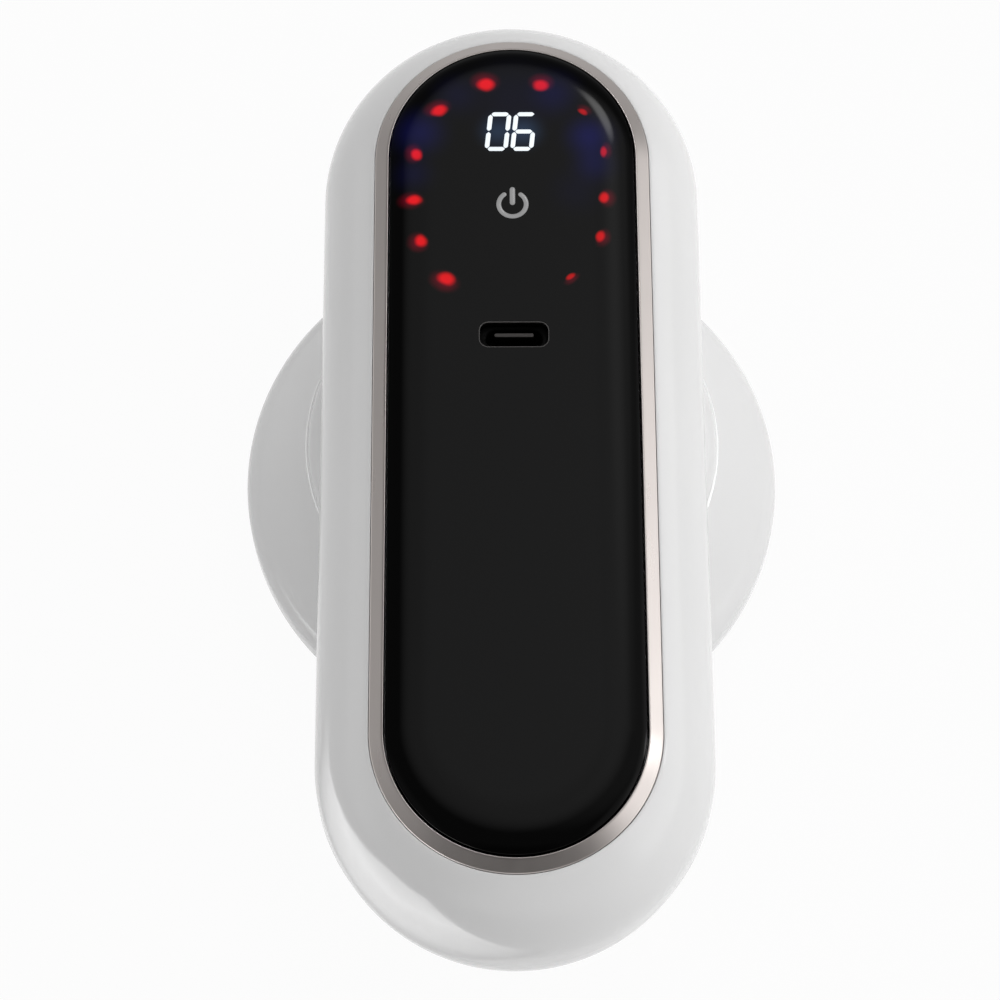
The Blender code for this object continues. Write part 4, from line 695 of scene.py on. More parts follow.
def tongueLitAndShaded(face):
    # painted light and shade on the tongue: its end face is painted grey as lit and the rest black as shaded
    # in the slot; the colour changes just under the height of the face
    v = port
    made, tree, shader = newMaterial("tongueLitAndShaded")
    split = added(tree, "SeparateXYZ", {0: objectPlace(tree)})
    # painted light and shade: grey on the lit face, black on the shaded sides below it
    tip = mapped(tree, split.outputs["Z"], 0, 1, face - v["tip"][0], face - v["tip"][1], True)
    feed(tree, shader, {
        "Base Color": mixedColour(tree, tip, v["tipShadeBlack"], v["tipLitGrey"]), "Specular IOR Level": 0.1,
        "Roughness": mapped(tree, objectNoise(tree, 1800, 4.0), 0.45, 0.53),
    })
    made.diffuse_color = (*v["tipLitGrey"], 1)
    return made


def makePort():
    # a fine rim in the panel's hole, grey as a painted highlight of the hole's edge, the socket body with its
    # slot, near black as painted shade in the port, and the flat tongue in it
    v = port
    shift = Matrix.Translation((panel["portX"], panel["portY"], 0))
    hole = roundedOutline(panel["portWidth"] - 2 * v["fit"], panel["portHeight"] - 2 * v["fit"],
                          panel["portCorner"] - v["fit"], panel["cornerSteps"])
    inner = hole - outwardOf(hole) * v["rim"]
    top = panelTop - v["rimSunk"]
    rim = slabMesh(hole, [(0, top - v["rimDepth"]), (0, top - v["rimEdge"]), (v["rimEdge"], top)], inner)
    addPiece("portRimHighlight", placed(rim, shift), finishes["portRimHighlight"], "housing")
    mouth = panelTop - v["mouthSunk"]
    slotLow = mouth - v["slotDepth"]
    # its near-black finish is painted shade in the port
    body = slabMesh(inner, roundedEdge(v["low"], mouth, v["mouthRound"]))
    slotLine = roundedOutline(v["slotWidth"], v["slotHeight"], (v["slotHeight"] - v["endFlat"]) / 2, 16)
    flare = [(0, slotLow), (0, mouth - v["flareDepth"]), (-v["flare"], mouth + v["flareRise"]),
             (-v["flare"], mouth + overcut)]
    body = carve(body, [slabMesh(slotLine, flare)])
    addPiece("portSocket", placed(body, shift), finishes["black"], "housing", ["usb_socket"])
    high = panelTop - v["tongueSunk"]
    outline = roundedOutline(v["tongueWidth"], v["tongueHeight"], (v["tongueHeight"] - v["endFlat"]) / 2, 8)
    tongue = slabMesh(outline, roundedEdge(slotLow + v["tongueFoot"], high, v["tongueRound"]))
    addPiece("portTongue", placed(tongue, shift), tongueLitAndShaded(high), "housing", ["usb_tongue"])


makePort()
print("charging port made")


# Lit readout and power mark

readout = {
    "leftX": -4.50 * mm, "lowY": 49.09 * mm, "width": 3.75 * mm, "height": 7.15 * mm, "pitch": 4.15 * mm,
    "stroke": 0.74 * mm, "split": 0.10 * mm, "slant": 0.105,
    "blunt": 0.084, "point": 0.9,        # a bar's ends: half width and length, in halves of its stroke
    "round": 0.16 * mm,
    "digits": ("abcdef", "acdefg"),      # a nought and a six
    "colour": (0.88, 0.95, 1.0), "light": 1.05, "dim": 0.93,
}
powerMark = {
    "centreY": 39.35 * mm, "radius": 2.20 * mm, "stroke": 0.76 * mm, "opening": math.radians(37),
    "barTop": 42.02 * mm, "barLow": 39.62 * mm, "barStroke": 0.86 * mm,
    "colour": (0.27, 0.27, 0.272), "light": 0.9, "dim": 0.9,
}
litPlate = {"proud": 0.02 * mm, "sunk": 0.10 * mm, "edge": 0.02 * mm}


def decal(outline):
    # a thin plate that follows the panel's face over its outline, just proud of it
    v = litPlate
    mesh = slabMesh(outline, [(0, -v["sunk"]), (0, v["proud"] / 2), (v["edge"], v["proud"])])
    points = np.empty(len(mesh.vertices) * 3)
    mesh.vertices.foreach_get("co", points)
    points = points.reshape(-1, 3)
    points[:, 2] += panelHeight(points)
    mesh.vertices.foreach_set("co", points.ravel())
    return mesh


def addLit(name, finishName, plates, values):
    # the plates of one lit marking as one piece that glows in its own colour
    lit = glowing(finishName, values["colour"], values["light"], values["dim"])
    addPiece(name, joined(plates), lit, "housing")


def segmentOutline(name):
    # one bar of a seven-bar digit, with blunt 45 degree ends and its corners rounded
    v = readout
    halfStroke, split = v["stroke"] / 2, v["split"]
    left, right = halfStroke, v["width"] - halfStroke
    low, middle, high = halfStroke, v["height"] / 2, v["height"] - halfStroke
    ends = {"a": ((left, high), (right, high)), "b": ((right, middle), (right, high)),
            "c": ((right, low), (right, middle)), "d": ((left, low), (right, low)),
            "e": ((left, low), (left, middle)), "f": ((left, middle), (left, high)),
            "g": ((left, middle), (right, middle))}
    start, end = (np.array(point) for point in ends[name])
    along = (end - start) / np.linalg.norm(end - start)
    across = np.array((-along[1], along[0]))
    start, end = start + along * split, end - along * split
    side, blunt = across * halfStroke, across * halfStroke * v["blunt"]
    point = along * halfStroke * v["point"]
    corners = [start + blunt, start - side + point, end - side - point, end - blunt, end + blunt,
               end + side - point, start + side + point]
    outline = softCorners(corners, [v["round"]] * len(corners), steps=3)
    x, y = outline.T
    if np.sum(x * np.roll(y, -1) - np.roll(x, -1) * y) < 0:
        outline = outline[::-1]
    return outline


def makeReadout():
    # the lit bars of both digits, leaning to the right in step with their height
    v = readout
    bars = []
    for i, names in enumerate(v["digits"]):
        for name in names:
            outline = segmentOutline(name)
            outline = outline + np.stack([v["slant"] * outline[:, 1], np.zeros(len(outline))], 1)
            bars.append(decal(outline + np.array((v["leftX"] + i * v["pitch"], v["lowY"]))))
    addLit("readoutDigits", "litWhite", bars, v)


def strokeOutline(line, stroke, steps=8):
    # a line widened to a stroke with round ends
    along = np.gradient(line, axis=0)
    along /= np.linalg.norm(along, axis=1)[:, None]
    across = np.stack([-along[:, 1], along[:, 0]], 1) * stroke / 2
    turn = np.linspace(0, math.pi, steps + 1)[1:-1, None]
    endCap = line[-1] - np.cos(turn) * across[-1] + np.sin(turn) * along[-1] * stroke / 2
    startCap = line[0] + np.cos(turn) * across[0] - np.sin(turn) * along[0] * stroke / 2
    return np.concatenate([line - across, endCap, (line + across)[::-1], startCap])


def makePowerMark():
    # an open ring with an upright bar in its opening
    v = powerMark
    angle = np.linspace(quarter + v["opening"], 5 * quarter - v["opening"], 60)
    ring = np.stack([v["radius"] * np.cos(angle), v["centreY"] + v["radius"] * np.sin(angle)], 1)
    bar = np.stack([np.zeros(8), np.linspace(v["barLow"], v["barTop"], 8)], 1)
    marks = [decal(strokeOutline(ring, v["stroke"])), decal(strokeOutline(bar, v["barStroke"]))]
    addLit("powerMark", "litGrey", marks, v)


makeReadout()
makePowerMark()
print("readout and power mark made")


# Head: the bell, its seal, the turning plate, the pad, the rollers and the hub cap

bell = {
    "neck": 33.85 * mm, "neckTop": 28.7 * mm, "radius": 45.0 * mm, "edge": 15.2 * mm, "round": 2.6 * mm,
    "rimLow": 8.9 * mm, "rimWall": 2.6 * mm, "sealShelf": 11.2 * mm, "sealWidth": 2.4 * mm,
    "wall": 2.4 * mm, "deckTop": 22.4 * mm, "deckLow": 20.4 * mm, "motorHole": 12.8 * mm,
    "neckRound": 0.3 * mm, "neckFall": (0.65, -0.76),     # the cone's direction at the neck
    "shelfRounds": (0.2 * mm, 0.15 * mm, 0.15 * mm), "deckRound": 1.5 * mm,
    "seamSize": 0.46 * mm, "seamReach": math.radians(33),
    "steps": 256, "roomSteps": (64, 60),
}


def makeBell():
    # section: the cone from the neck to the rounded rim, the rim's lower face, and back up the inside; the
    # handle's underside is cut out of it with a fine gap
    v = bell
    top = (v["neck"], v["neckTop"])
    shoulder = (v["radius"] - v["round"], v["edge"] + v["round"])
    neckEdge = curveTo((v["neck"] - v["neckRound"], v["neckTop"]), top,
                       np.array(top) + v["neckRound"] * np.array(v["neckFall"]), 5)
    cone = np.linspace(neckEdge[-1], shoulder, 14)[1:-1]
    turn = curveTo(shoulder, (v["radius"], v["edge"]), (v["radius"], v["edge"] - v["round"]), 16)
    rim = curveTo((v["radius"], v["rimLow"] + v["round"] / 2), (v["radius"], v["rimLow"]),
                  (v["radius"] - v["round"] / 2, v["rimLow"]), 9)
    inner = v["radius"] - v["rimWall"]
    step = inner - v["sealWidth"]
    inside = [(inner, v["rimLow"]), (inner, v["sealShelf"]), (step, v["sealShelf"]),
              (step, v["edge"] - handle["gap"]), (v["neck"] + v["wall"], v["deckLow"]),
              (v["motorHole"], v["deckLow"]), (v["motorHole"], v["deckTop"]),
              (v["neck"] - v["wall"], v["deckTop"]), (v["neck"] - v["wall"], v["neckTop"])]
    inside = softCorners(inside, (*v["shelfRounds"], 0, v["deckRound"], 0, 0, 0, 0), False)
    profile = np.concatenate([neckEdge, cone, turn, rim, inside])
    mesh = placed(ringMesh(profile, roundPath(v["steps"])), headPlace)
    reach, floor, high = handle["width"] + handle["gap"], underside - handle["gap"], parting + overcut
    room = curveTo((reach, parting), (reach, floor), (handle["flatWidth"], floor), 30)
    room = np.concatenate([[(0, high), (reach, high)], room, [(0, floor)]])
    mesh = carve(mesh, [ringMesh(room, pillPath(handle["half"], *v["roomSteps"]), False)])
    addPiece("bellShell", mesh, finishes["head"], "housing", ["bell_housing"])


def makeSeamBeads():
    # on each side a fine bead fills the joint between the bell and the handle's shoulder, whiter and glossier
    # than the shells as a painted highlight along the joint: a round section carried along an arc about the
    # head's axis, with its ends closed inside the handle
    v = bell
    around = np.linspace(0, 2 * math.pi, 13)[:-1]
    for side, middle in (("Right", 0.0), ("Left", math.pi)):
        turn = np.linspace(middle - v["seamReach"], middle + v["seamReach"], 90)
        swell = np.ones(turn.size)
        swell[[0, -1]] = 0
        radius = v["neck"] + v["seamSize"] * np.cos(around)[None] * swell[:, None]
        height = v["neckTop"] + handle["gap"] / 2 + v["seamSize"] * np.sin(around)[None] * swell[:, None]
        grid = np.stack([radius * np.cos(turn)[:, None], radius * np.sin(turn)[:, None], height], -1)
        faces = gridFaces(turn.size, around.size, True)[:-around.size]
        mesh = placed(meshOf(grid, faces), headPlace)
        addPiece("neckHighlightBead" + side, mesh, finishes["highlightSeam"], "housing")


makeBell()
makeSeamBeads()
print("bell made")

seal = {
    "outer": 42.1 * mm, "width": 2.4 * mm, "low": 9.3 * mm, "height": 1.6 * mm, "round": 0.4 * mm,
    "steps": 200,
}


def makeSeal():
    # section: a low rectangle with rounded corners
    v = seal
    inner, high = v["outer"] - v["width"], v["low"] + v["height"]
    corners = [(inner, v["low"]), (v["outer"], v["low"]), (v["outer"], high), (inner, high)]
    profile = softCorners(corners, [v["round"]] * 4, steps=4)
    mesh = placed(ringMesh(profile, roundPath(v["steps"])), headPlace)
    addPiece("feltSeal", mesh, finishes["felt"], "housing", ["dust_seal"])


makeSeal()
print("seal made")

plate = {
    "radius": 41.3 * mm, "low": 4.2 * mm, "high": 9.0 * mm, "round": 3.0 * mm, "hub": 5.9 * mm,
    "windowInner": 21.7 * mm, "windowOuter": 37.5 * mm, "windowWidth": 14.6 * mm, "windowCorner": 1.4 * mm,
    "windowEase": 0.5 * mm, "recess": 0.9 * mm, "padRoom": 0.3 * mm, "topEase": 0.3 * mm, "steps": 200,
}
pad = {
    "radius": 38.0 * mm, "side": 8.5 * mm, "inner": 18.4 * mm, "corner": 2.0 * mm, "hole": 10.3 * mm,
    "face": 3.2 * mm, "back": 4.8 * mm, "round": 0.5 * mm,
    "studRadius": 2.3 * mm, "studHeight": 2.3 * mm, "studFoot": 0.5 * mm, "studMargin": 3.3 * mm,
    "studPitch": 7.2 * mm,
    "rowShares": (0.474, 0.658, 0.855),      # the studs' rows, as shares of the pad's radius
}


def turnedBy(outline, angle):
    # an outline turned anticlockwise about the origin
    c, s = math.cos(angle), math.sin(angle)
    return outline @ np.array(((c, s), (-s, c)))


def padOutline(grow=0.0):
    # four lobes between the rollers: an outer arc, straight sides beside each roller, rounded corners
    v = pad
    far, side, inner = v["radius"] + grow, v["side"] - grow, v["inner"] + grow
    along = math.asin(side / far)
    tip = (far * math.cos(along), side)
    eased = along + v["corner"] / far
    half = [curveTo((inner, side - v["corner"]), (inner, side), (inner + v["corner"], side), 6),
            curveTo((tip[0] - v["corner"], side), tip, (far * math.cos(eased), far * math.sin(eased)), 6)]
    half = np.concatenate(half)
    angle = np.linspace(eased, quarter - eased, 40)[1:-1]
    lobe = far * np.stack([np.cos(angle), np.sin(angle)], 1)
    part = np.concatenate([half[::-1] * (1, -1), half, lobe])
    return np.concatenate([turnedBy(part, k * quarter) for k in range(4)])


def makePlate():
    # section: a disc with a rounded lower edge; four windows and the pad's recess are cut from below
    v = plate
    lower = curveTo((v["radius"] - v["round"], v["low"]), (v["radius"], v["low"]),
                    (v["radius"], v["low"] + v["round"]), 14)
    upper = [(v["radius"], v["high"] - v["topEase"]), (v["radius"] - v["topEase"], v["high"]),
             (v["hub"], v["high"])]
    profile = np.concatenate([[(v["hub"], v["low"])], lower, upper])
    mesh = ringMesh(profile, roundPath(v["steps"]))
    middle = (v["windowInner"] + v["windowOuter"]) / 2
    outline = roundedOutline(v["windowOuter"] - v["windowInner"], v["windowWidth"], v["windowCorner"])
    outline = outline + np.array((middle, 0))
    section = [(-v["windowEase"], v["low"] - overcut), (-v["windowEase"], v["low"]),
               (0, v["low"] + v["windowEase"]), (0, v["high"] + overcut)]
    tools = [slabMesh(turnedBy(outline, k * quarter), section) for k in range(4)]
    tools.append(slabMesh(padOutline(v["padRoom"]), [(0, v["low"] - overcut), (0, v["low"] + v["recess"])]))
    mesh = carve(mesh, tools)
    addPiece("turningPlate", placed(mesh, headPlace), finishes["head"], "turntable", ["turntable"])


def studMesh(x, y):
    # half an ellipse turned about its upright axis, closed by a flat base inside the pad
    v = pad
    angle = np.linspace(0, quarter, 9)
    profile = np.stack([v["studRadius"] * np.cos(angle), -v["studHeight"] * np.sin(angle)], 1)
    profile[-1, 0] = 0
    profile = np.concatenate([[(0, v["studFoot"]), (v["studRadius"], v["studFoot"])], profile])
    return placed(ringMesh(profile, roundPath(20), False), Matrix.Translation((x, y, v["face"])))


def studSpots():
    # rows on arcs about the head's axis, kept clear of the rollers, as many as their pitch allows
    v = pad
    spots = []
    for k in range(4):
        middle = (k + 0.5) * quarter
        for share in v["rowShares"]:
            radius = share * v["radius"]
            reach = quarter / 2 - math.asin((v["side"] + v["studMargin"]) / radius)
            count = 1 + int(2 * reach * radius / v["studPitch"])
            for angle in (np.linspace(-reach, reach, count) if count > 1 else (0.0,)):
                spots.append((radius * math.cos(middle + angle), radius * math.sin(middle + angle)))
    return spots


def makePad():
    # a rounded four-lobed slab with a round hole for the hub, and a dome for each stud
    v = pad
    angle = np.linspace(0, 2 * math.pi, 72, endpoint=False)
    hole = v["hole"] * np.stack([np.cos(angle), np.sin(angle)], 1)
    slab = slabMesh(padOutline(), roundedEdge(-v["back"], -v["face"], v["round"]), hole)
    slab = placed(slab, Matrix.Rotation(math.pi, 4, "X"))        # its rounded face looks down
    studs = [studMesh(x, y) for x, y in studSpots()]
    addPiece("massagePad", placed(slab, headPlace), finishes["silicone"], "turntable", ["massage_pad"])
    addPiece("padStuds", placed(joined(studs), headPlace), finishes["silicone"], "turntable")


makePlate()
makePad()
print("turning plate and pad made")

roller = {
    "radius": 6.5 * mm, "length": 14.2 * mm, "middle": 29.6 * mm, "groove": 1.0 * mm, "bore": 1.7 * mm,
    "ease": 1.0 * mm, "pinRadius": 1.4 * mm, "pinInner": 19.6 * mm, "pinOuter": 39.6 * mm,
    "pinRound": 0.2 * mm, "ribs": 3, "groovePower": 2.2, "steps": 64, "pinSteps": 32,
}


def makeRollers():
    # section: three round-topped ribs along the roller, between eased ends, about a bore for the pin
    v = roller
    half = v["length"] / 2
    ribbed = half - v["ease"]
    along = np.linspace(-ribbed, ribbed, 61)
    wave = 0.5 - 0.5 * np.cos(math.pi * v["ribs"] * (along + ribbed) / ribbed)
    skin = np.stack([v["radius"] - v["groove"] * (1 - wave) ** v["groovePower"], along], 1)
    first, last = skin[0], skin[-1]
    start = curveTo((first[0] - v["ease"], -half), (first[0], -half), first, 6)[:-1]
    end = curveTo(last, (last[0], half), (last[0] - v["ease"], half), 6)[1:]
    profile = np.concatenate([[(v["bore"], -half)], start, skin, end, [(v["bore"], half)]])
    pinCorners = [(0, v["pinInner"]), (v["pinRadius"], v["pinInner"]), (v["pinRadius"], v["pinOuter"]),
                  (0, v["pinOuter"])]
    pinProfile = softCorners(pinCorners, (0, v["pinRound"], v["pinRound"], 0), False, 3)
    lay = Matrix.Rotation(quarter, 4, "Y")
    out = Matrix.Translation((v["middle"], 0, 0))
    for k in range(4):
        turn = headPlace @ Matrix.Rotation(k * quarter, 4, "Z") @ Matrix.Translation((0, 0, v["radius"]))
        number = str(k + 1)
        mesh = placed(ringMesh(profile, roundPath(v["steps"])), turn @ out @ lay)
        addPiece("ribbedRoller" + number, mesh, finishes["roller"], "roller_" + number,
                 ["massage_roller_" + number])
        pin = placed(ringMesh(pinProfile, roundPath(v["pinSteps"]), False), turn @ lay)
        addPiece("rollerAxle" + number, pin, finishes["steel"], "turntable", ["roller_pin_" + number])


makeRollers()
print("rollers made")

cap = {
    "radius": 10.0 * mm, "top": 3.9 * mm, "height": 3.1 * mm, "wall": 0.8 * mm,
    "step": 0.5 * mm, "stepHeight": 0.6 * mm, "domeInset": 0.9 * mm, "flatShare": 1 / 3,
    "hollowInset": 0.6 * mm, "hollowLip": 0.3 * mm, "steps": 128,
}


def makeHubCap():
    # section: a low dome with a fine step round its edge, hollow behind
    v = cap
    low, inner, flat = v["top"] - v["height"], v["radius"] - v["wall"], v["radius"] * v["flatShare"]
    ceiling, edgeLow = low + v["wall"], v["top"] - v["stepHeight"]
    edge = [(inner, v["top"]), (v["radius"], v["top"]), (v["radius"], edgeLow)]
    dome = curveTo((v["radius"] - v["step"], edgeLow), (v["radius"] - v["domeInset"], low), (flat, low), 26)
    inside = curveTo((flat, ceiling), (inner - v["hollowInset"], ceiling),
                     (inner, v["top"] - v["hollowLip"]), 12)
    profile = np.concatenate([edge, dome, [(0, low), (0, ceiling)], inside])
    brushed = finish("brushedCap", (0.48, 0.47, 0.46), (0.56, 0.55, 0.54), (0.22, 0.34), metallic=1.0,
                     relief=0.001 * mm, stretch=(1, 1, 6))
    mesh = placed(ringMesh(profile, roundPath(v["steps"])), headPlace)
    addPiece("hubCap", mesh, brushed, "turntable", ["hub_cap"])


makeHubCap()
print("hub cap made")


# Closing screws, seen at the bottom of their sinks

screw = {
    "head": 2.0 * mm, "headHeight": 1.6 * mm, "faceHeight": 1.12 * mm, "shank": 1.2 * mm,
    "crossWidth": 0.55 * mm, "crossLength": 2.2 * mm, "crossDepth": 0.8 * mm, "crossCorner": 0.1 * mm,
    "steps": 40,
}


def makeScrews():
    # a pan head with a cross cut into its face, on a plain shank that runs up into the upper shell
    v = screw
    for k in range(3):
        node = "housing_screw_%d" % (k + 1)
        low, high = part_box(node)
        head = curveTo((0, low[2]), (v["head"], low[2]), (v["head"], low[2] + v["faceHeight"]), 8)
        shoulder = low[2] + v["headHeight"]
        shank = [(v["head"], shoulder), (v["shank"], shoulder), (v["shank"], high[2]), (0, high[2])]
        mesh = ringMesh(np.concatenate([head, shank]), roundPath(v["steps"]), False)
        cross = (v["crossLength"], v["crossWidth"])
        bars = [roundedOutline(*size, v["crossCorner"], 3) for size in (cross, cross[::-1])]
        mesh = carve(mesh, [slabMesh(bar, [(0, low[2] - overcut), (0, low[2] + v["crossDepth"])])
                            for bar in bars])
        spot = Matrix.Translation(((low[0] + high[0]) / 2, (low[1] + high[1]) / 2, 0))
        addPiece("closingScrew%d" % (k + 1), placed(mesh, spot), finishes["blackScrew"], "housing", [node])


makeScrews()
print("closing screws made")


# Inner parts keep their solids and get a finish each

innerFinishes = (
    (finish("boardGreen", (0.012, 0.10, 0.035), (0.03, 0.19, 0.07), (0.30, 0.42), grain=1500,
            relief=0.01 * mm, coarse=900), ("display_board", "control_board")),
    (finish("milkyLight", (0.68, 0.68, 0.67), (0.78, 0.78, 0.77), (0.38, 0.46), coarse=300),
     ("display_module", "light_ring")),
    (finish("foamDark", (0.05, 0.05, 0.05), (0.10, 0.10, 0.10), (0.85, 0.98), grain=6000,
            relief=0.05 * mm, coarse=2500), ("panel_tape", "touch_pad")),
    (finish("lampRed", (0.45, 0.02, 0.02), (0.75, 0.04, 0.03), (0.25, 0.35), coarse=1200), ("lamp_strip",)),
    (finish("chipBlack", (0.015, 0.015, 0.016), (0.03, 0.03, 0.032), (0.45, 0.6), grain=4000,
            relief=0.004 * mm), ("driver_chip",)),
    (finish("filmAmber", (0.40, 0.19, 0.03), (0.58, 0.31, 0.06), (0.25, 0.38), coarse=700),
     ("ribbon_cable",)),
    (finish("sleeveBlue", (0.03, 0.15, 0.38), (0.05, 0.21, 0.47), (0.25, 0.36), coarse=200,
            relief=0.004 * mm), ("battery_cell_1", "battery_cell_2")),
    (finish("trayBlack", (0.012, 0.012, 0.013), (0.022, 0.022, 0.024), (0.42, 0.55), grain=3000,
            relief=0.006 * mm), ("battery_tray", "motor_end_cap", "gearbox_cover")),
    (finish("nickelStrip", (0.56, 0.54, 0.49), (0.66, 0.63, 0.58), (0.22, 0.36), metallic=1.0,
            grain=2000, stretch=(1, 1, 8)), ("cell_link",)),
    (finish("turnedSteel", (0.46, 0.47, 0.48), (0.58, 0.59, 0.60), (0.22, 0.36), metallic=1.0,
            grain=2600, relief=0.001 * mm),
     ("motor_can", "motor_plate", "motor_screw_1", "motor_screw_2", "motor_shaft", "planet_carrier",
      "gearbox_screw_1", "gearbox_screw_2", "head_screw_1", "head_screw_2", "head_screw_3", "hub_screw")),
    (finish("ferrite", (0.05, 0.05, 0.055), (0.09, 0.09, 0.095), (0.6, 0.8), grain=5000, relief=0.01 * mm),
     ("motor_magnet",)),
    (finish("rotorIron", (0.22, 0.21, 0.20), (0.32, 0.31, 0.30), (0.35, 0.5), metallic=1.0, grain=1200,
            stretch=(0.1, 0.1, 3), relief=0.01 * mm), ("motor_rotor",)),
    (finish("sinteredBronze", (0.46, 0.28, 0.11), (0.62, 0.40, 0.18), (0.30, 0.45), metallic=1.0,
            grain=4000, relief=0.004 * mm), ("sun_gear", "output_bush")),
    (finish("naturalAcetal", (0.70, 0.69, 0.64), (0.78, 0.77, 0.72), (0.34, 0.44), coarse=200),
     ("ring_gear", "planet_gear_1", "planet_gear_2", "planet_gear_3")),
    (finish("wireRed", (0.42, 0.015, 0.015), (0.58, 0.03, 0.03), (0.38, 0.5), coarse=600),
     ("battery_lead_1", "battery_lead_2")),
    (finish("wireBlack", (0.010, 0.010, 0.011), (0.022, 0.022, 0.023), (0.4, 0.52), coarse=600),
     ("motor_lead",)),
)

for made, names in innerFinishes:
    for name in names:
        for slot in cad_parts[name].material_slots:
            slot.material = made
print("inner parts finished:", sum(len(names) for made, names in innerFinishes))


# Floor, lights and camera

studio = {
    "floorSize": 20.0, "floorGlow": 0.955, "floorColour": 0.69,
    "sky": 0.25,
    # strength, then the heights (sine of the elevation) where each band starts and has faded out
    "bands": ((0.32, 0.20, 0.36), (0.17, 0.30, 0.52)),
    # azimuth and elevation of the middle, angles where it has faded out and where it is full, strength
    "patches": {
        "key": (0, 12, 41, 23, 1.50),
        "overheadFar": (90, 65, 25, 9, 0.98),
        "overheadRight": (35, 58, 30, 10, 0.50),
        "rightNear": (-20, 42, 19, 8, 0.60),
        "leftFill": (172, -4, 40, 16, 0.76),
        "leftNear": (-165, 40, 24, 8, 0.22),
        "nearFill": (-90, 6, 35, 16, 0.62),
        "nearFlag": (-90, 54, 22, 8, -0.12),
        "glint": (70, 51.5, 5.4, 1.5, 10.0),
        "glintVeil": (58, 52, 16, 4, 0.6),
        "spark": (13.5, 31.5, 7, 2, 6.0),
    },
    # a bright sheet on the floor at the near left, which only the glossy sides mirror; its light rises from
    # the end beside the object over the stretch
    "sheet": {"place": (-0.192, -0.211, 0.0005), "turn": math.radians(47), "size": (0.43, 0.157),
              "light": (0.6, 6.8), "stretch": 0.080},
}
view = {
    "lens": 113.3, "sensor": 36, "clip": (0.01, 20),
    "distance": 485.8 * mm, "target": (-2.24 * mm, -11.66 * mm, 58.7 * mm),
    "tilt": math.radians(22.99), "swing": math.radians(-0.35), "roll": math.radians(-0.3),
}


def mixedShader(tree, share, first, second):
    # the first shader where the share is 0, the second where it is 1
    return added(tree, "MixShader", {0: share, 1: first, 2: second}).outputs[0]


def seenDirectly(tree):
    # 1 for the camera's rays and for those that a glossy or clear surface sends on
    path = added(tree, "LightPath", {}).outputs
    rays = [path["Is Camera Ray"], path["Is Glossy Ray"], path["Is Transmission Ray"]]
    return mapped(tree, summed(tree, rays), 0, 1, 0, 1)


def flatSheet(name, finishName, size, shaderOf):
    # a flat rectangle about its middle: shaderOf gives its look from above, and from below it is clear
    x, y = size[0] / 2, size[1] / 2
    mesh = bpy.data.meshes.new(name)
    mesh.from_pydata([(-x, -y, 0), (x, -y, 0), (x, y, 0), (-x, y, 0)], [], [(0, 1, 2, 3)])
    made = bpy.data.materials.new(finishName)
    made.use_nodes = True
    tree = made.node_tree
    tree.nodes.clear()
    clear = added(tree, "BsdfTransparent", {}).outputs[0]
    under = added(tree, "NewGeometry", {}).outputs["Backfacing"]
    added(tree, "OutputMaterial", {"Surface": mixedShader(tree, under, shaderOf(tree), clear)})
    mesh.materials.append(made)
    sheet = bpy.data.objects.new(name, mesh)
    bpy.context.scene.collection.objects.link(sheet)
    return sheet


def floorShader(tree):
    # a pale surface that keeps the shadow, with a glow over it in what the camera, gloss and glass see
    value = studio["floorColour"]
    pale = added(tree, "BsdfDiffuse", {"Color": (value, value, value, 1)}).outputs[0]
    glow = added(tree, "Emission", {"Strength": 1.0}).outputs[0]
    return mixedShader(tree, mapped(tree, seenDirectly(tree), 0, studio["floorGlow"], 0, 1), pale, glow)


def makeFloor():
    # a wide square at the rollers' lowest line
    floor = flatSheet("floor", "paleFloor", (studio["floorSize"], studio["floorSize"]), floorShader)


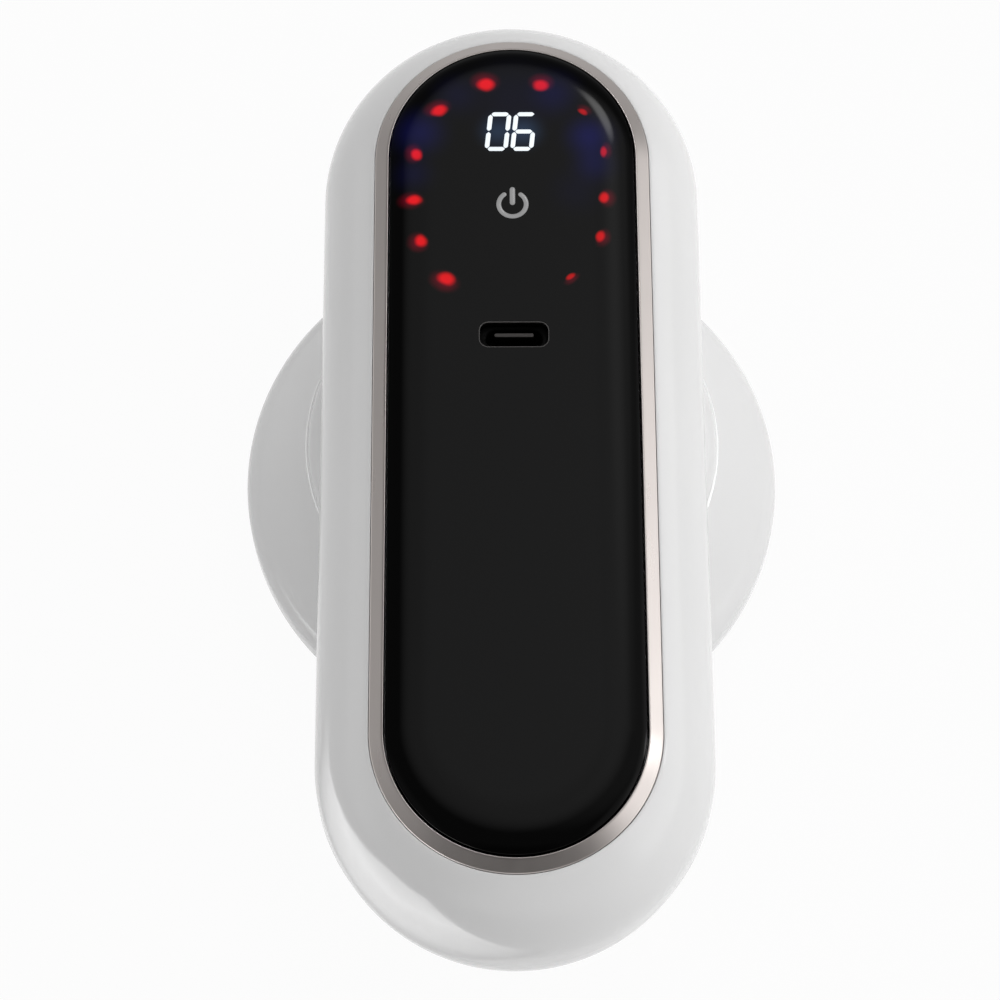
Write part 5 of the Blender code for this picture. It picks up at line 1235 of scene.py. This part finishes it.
def makeWorld():
    # a soft dome: an even sky, two bands round the horizon and wide patches that fade out at their edges
    world = bpy.data.worlds.new("softDome")
    world.use_nodes = True
    bpy.context.scene.world = world
    tree = world.node_tree
    direction = added(tree, "TexCoord", {}).outputs["Generated"]
    height = added(tree, "SeparateXYZ", {0: direction}).outputs["Z"]
    levels = [studio["sky"]]
    for strength, full, faded in studio["bands"]:
        levels.append(mapped(tree, height, strength, 0, full, faded, True))
    for *angles, strength in studio["patches"].values():
        turn, rise, outer, inner = (math.radians(angle) for angle in angles)
        middle = (math.cos(rise) * math.cos(turn), math.cos(rise) * math.sin(turn), math.sin(rise))
        facing = added(tree, "VectorMath", {0: direction, 1: middle}, operation="DOT_PRODUCT")
        levels.append(mapped(tree, facing.outputs["Value"], 0, strength, math.cos(outer), math.cos(inner),
                             True))
    feed(tree, tree.nodes["Background"], {"Color": (1, 1, 1, 1), "Strength": summed(tree, levels)})


def sheetShader(tree):
    # light that rises from the end beside the object, and stays even beyond the stretch
    v = studio["sheet"]
    end, (near, far) = v["size"][0] / 2, v["light"]
    along = added(tree, "SeparateXYZ", {0: objectPlace(tree)}).outputs["X"]
    light = mapped(tree, along, far, near, end - v["stretch"], end)
    return added(tree, "Emission", {"Strength": light}).outputs[0]


def makeSheet():
    # the sheet lights nothing and casts no shadow: only glossy and clear surfaces show it
    v = studio["sheet"]
    sheet = flatSheet("lowSheet", "lowSheet", v["size"], sheetShader)
    sheet.location = v["place"]
    sheet.rotation_euler = (0, 0, v["turn"])
    sheet.visible_camera = False
    sheet.visible_diffuse = False
    sheet.visible_shadow = False


def makeCamera():
    # placed at its distance from the target, straight above it, then swung about the target
    camera = bpy.data.cameras.new("view")
    camera.lens, camera.sensor_width = view["lens"], view["sensor"]
    camera.clip_start, camera.clip_end = view["clip"]
    eye = bpy.data.objects.new("view", camera)
    bpy.context.scene.collection.objects.link(eye)
    turn = (Matrix.Rotation(view["swing"], 4, "Y") @ Matrix.Rotation(view["tilt"], 4, "X")
            @ Matrix.Rotation(view["roll"], 4, "Z"))
    back = turn.to_3x3() @ Vector((0, 0, 1))
    eye.matrix_world = Matrix.Translation(Vector(view["target"]) + back * view["distance"]) @ turn
    bpy.context.scene.camera = eye


makeFloor()
makeWorld()
makeSheet()
makeCamera()
bpy.context.scene.view_settings.view_transform = "Standard"
print("studio made")

bpy.context.view_layer.update()
